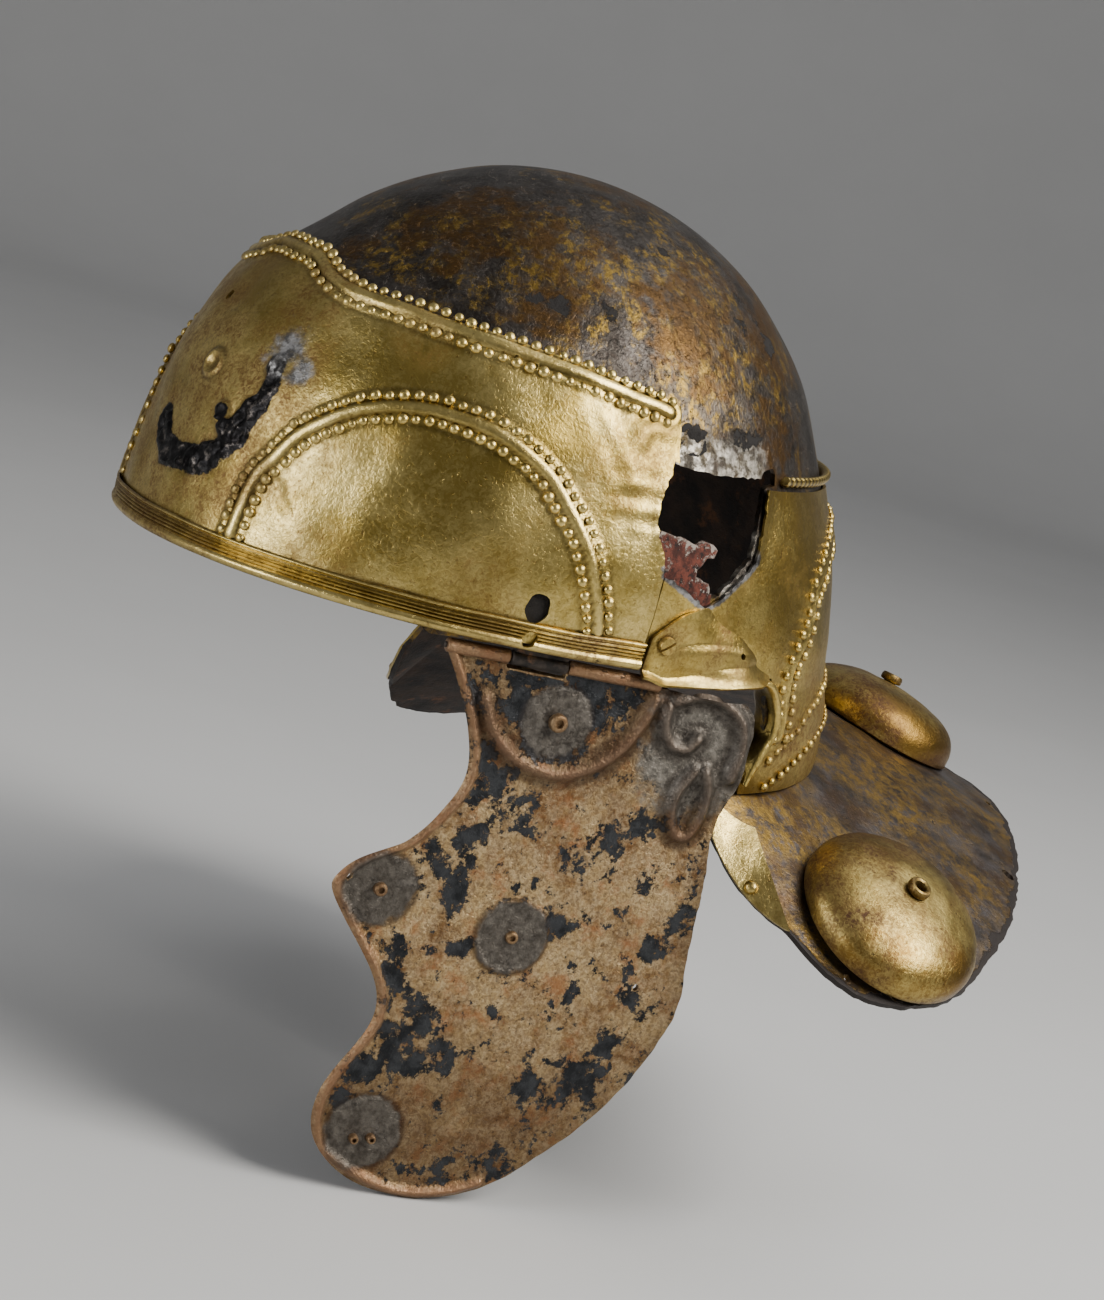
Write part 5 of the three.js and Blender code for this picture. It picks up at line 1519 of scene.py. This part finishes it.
# Darker towards the top, the foot, the rear edge and inside the crescent, which leaves the middle lighter:
# dull tarnish with painted shade.
dull = smooth((46 - depth) / 26) * 0.8 + smooth((depth - 100) / 50) * 0.75
dull = np.maximum(dull, ridge(rear - along, 9, 0.55))
dull = dull - ridge(to_crescent, 3.4, 0.7) - rolled * 0.18 + waves(places, 15, 133) * 0.12
mark(cheek, "dull", np.maximum(dull, inside_crescent * 0.7))
# The ridges are washed with rubbed copper and a painted highlight.
raised = [rolled / 2, ridge(to_crescent, 3, 1), ridge(to_leaf, 2.2, 1), ridge(to_scroll, 2, 1)]
mark(cheek, "raised", np.maximum.reduce(raised))
mark(cheek, "hollow_shade", hollow_shade)
shape(cheek, places + outs * relief[:, None])
cheek.data.materials.append(cheek_copper)
cheek.data.materials.append(rusted_iron)
thicken(cheek, CHEEK_WALL)
knuckle_room = rod("knuckle_room", on_hinge(KNUCKLE_FROM), on_hinge(KNUCKLE_TO), 3.7)
cut_out(cheek, knuckle_room)
CHEEK_HOLES = [(-10.5, 74, 1.1), (90, 95, 1.0)]  # along, depth, radius
for hole_place, hole_depth, radius in CHEEK_HOLES:
    middle, inward = place_on(cheek_face, hole_place, hole_depth)
    cut_out(cheek, hole_along(middle, -inward, radius, 0.15, 131))
extras = []
for start, end in ((0, KNUCKLE_FROM), (KNUCKLE_TO, HINGE_END)):
    tube = rod("tube", on_hinge(start), on_hinge(end), TUBE_RADIUS, 24, 24)
    places = points_of(tube)
    turned_out = places - HINGE_START
    turned_out -= np.outer(turned_out @ hinge_along, hinge_along)
    shape(tube, places - turned_out * (0.04 + 0.04 * waves(places, 8, 132))[:, None])
    mark(tube, "raised", np.ones(len(places)))
    extras.append(tube)
for disc_along, disc_depth, _, radius, height in DISCS:
    studs = [(disc_along, disc_depth)]
    if disc_depth > 150:
        studs = [(disc_along - 2.6, disc_depth + 2.4), (disc_along + 2.8, disc_depth + 1.6)]
    for stud_along, stud_depth in studs:
        profile = [
            (radius * 1.25, -1),
            (radius * 1.25, height * 0.5),
            (radius * 1.15, height * 0.85),
            (radius * 0.95, height),
            (radius * 0.6, height * 0.95),
            (radius * 0.5, height * 0.4),
            (radius * 0.1, height * 0.35),
        ]
        stud = turned("stud", profile, 18)
        edit(stud, fill_ends)
        middle, inward = place_on(cheek_face, stud_along, stud_depth)
        seat_on(stud, middle - inward * 0.3, -inward)
        mark(stud, "raised", np.full(len(stud.data.vertices), 0.3))
        mark(stud, "dull", np.full(len(stud.data.vertices), 0.7))
        extras.append(stud)
for piece in extras:
    piece.data.materials.append(cheek_copper)
join_to(cheek, extras)
soften(cheek, 50)
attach(cheek, "cheek")
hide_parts("cheek_piece")

# Studio
# A plain pale floor that curves up far off, under soft lamps: a large one at the camera's right, a
# weaker one at its left, and one overhead.
FLOOR_FLAT = 2300
FLOOR_CURVE = 900
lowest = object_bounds()[0].z / MM - 0.2
floor, across, up = flat_grid("floor", 96, 60)
reach = 3400 * up
curved = np.clip(reach - FLOOR_FLAT, 0, FLOOR_CURVE) / FLOOR_CURVE
climb = FLOOR_CURVE * (1 - np.sqrt(np.clip(1 - curved ** 2, 0, 1)))
climb = climb + np.maximum(reach - FLOOR_FLAT - FLOOR_CURVE, 0) * 5
reach = np.minimum(reach, FLOOR_FLAT + FLOOR_CURVE)
round_turn = across * 2 * np.pi
shape(floor, np.column_stack([reach * np.cos(round_turn), reach * np.sin(round_turn), lowest + climb]))
edit(floor, close_seam)
pale, tree = start_finish("pale_floor")
shade = mottled(tree, (0.55, 0.55, 0.545), (0.59, 0.59, 0.585), Size=400, Share=0.5, Edge=0.3)
end_finish(tree, shade, 0.8, 0.0, skin_of(tree, 5, 1, 0.5)[0], 0.02)
floor.data.materials.append(pale)
soften(floor, 60)


def lamp(name, way, power, size, colour=(1, 1, 1)):
    """A soft square lamp that faces the helmet."""
    place = view_aim + way.normalized() * 1.35
    bpy.ops.object.light_add(type="AREA", location=place)
    light = bpy.context.object
    light.name = name
    light.data.shape = "SQUARE"
    light.data.size = size
    light.data.energy = power
    light.data.color = colour
    light.rotation_euler = way.to_track_quat("Z", "Y").to_euler()


lamp("key", side * 0.83 + top * 0.34 + away * 0.42, 30, 0.75, (1, 0.97, 0.92))
lamp("fill", side * -0.72 + top * 0.22 + away * 0.66, 9, 0.5, (0.97, 0.98, 1))
lamp("overhead", Vector((0.1, 0.5, 1)), 5, 1.0)
world = bpy.context.scene.world or bpy.data.worlds.new("studio")
bpy.context.scene.world = world
world.use_nodes = True
world.node_tree.nodes["Background"].inputs[0].default_value = (0.93, 0.95, 1, 1)
world.node_tree.nodes["Background"].inputs[1].default_value = 0.2
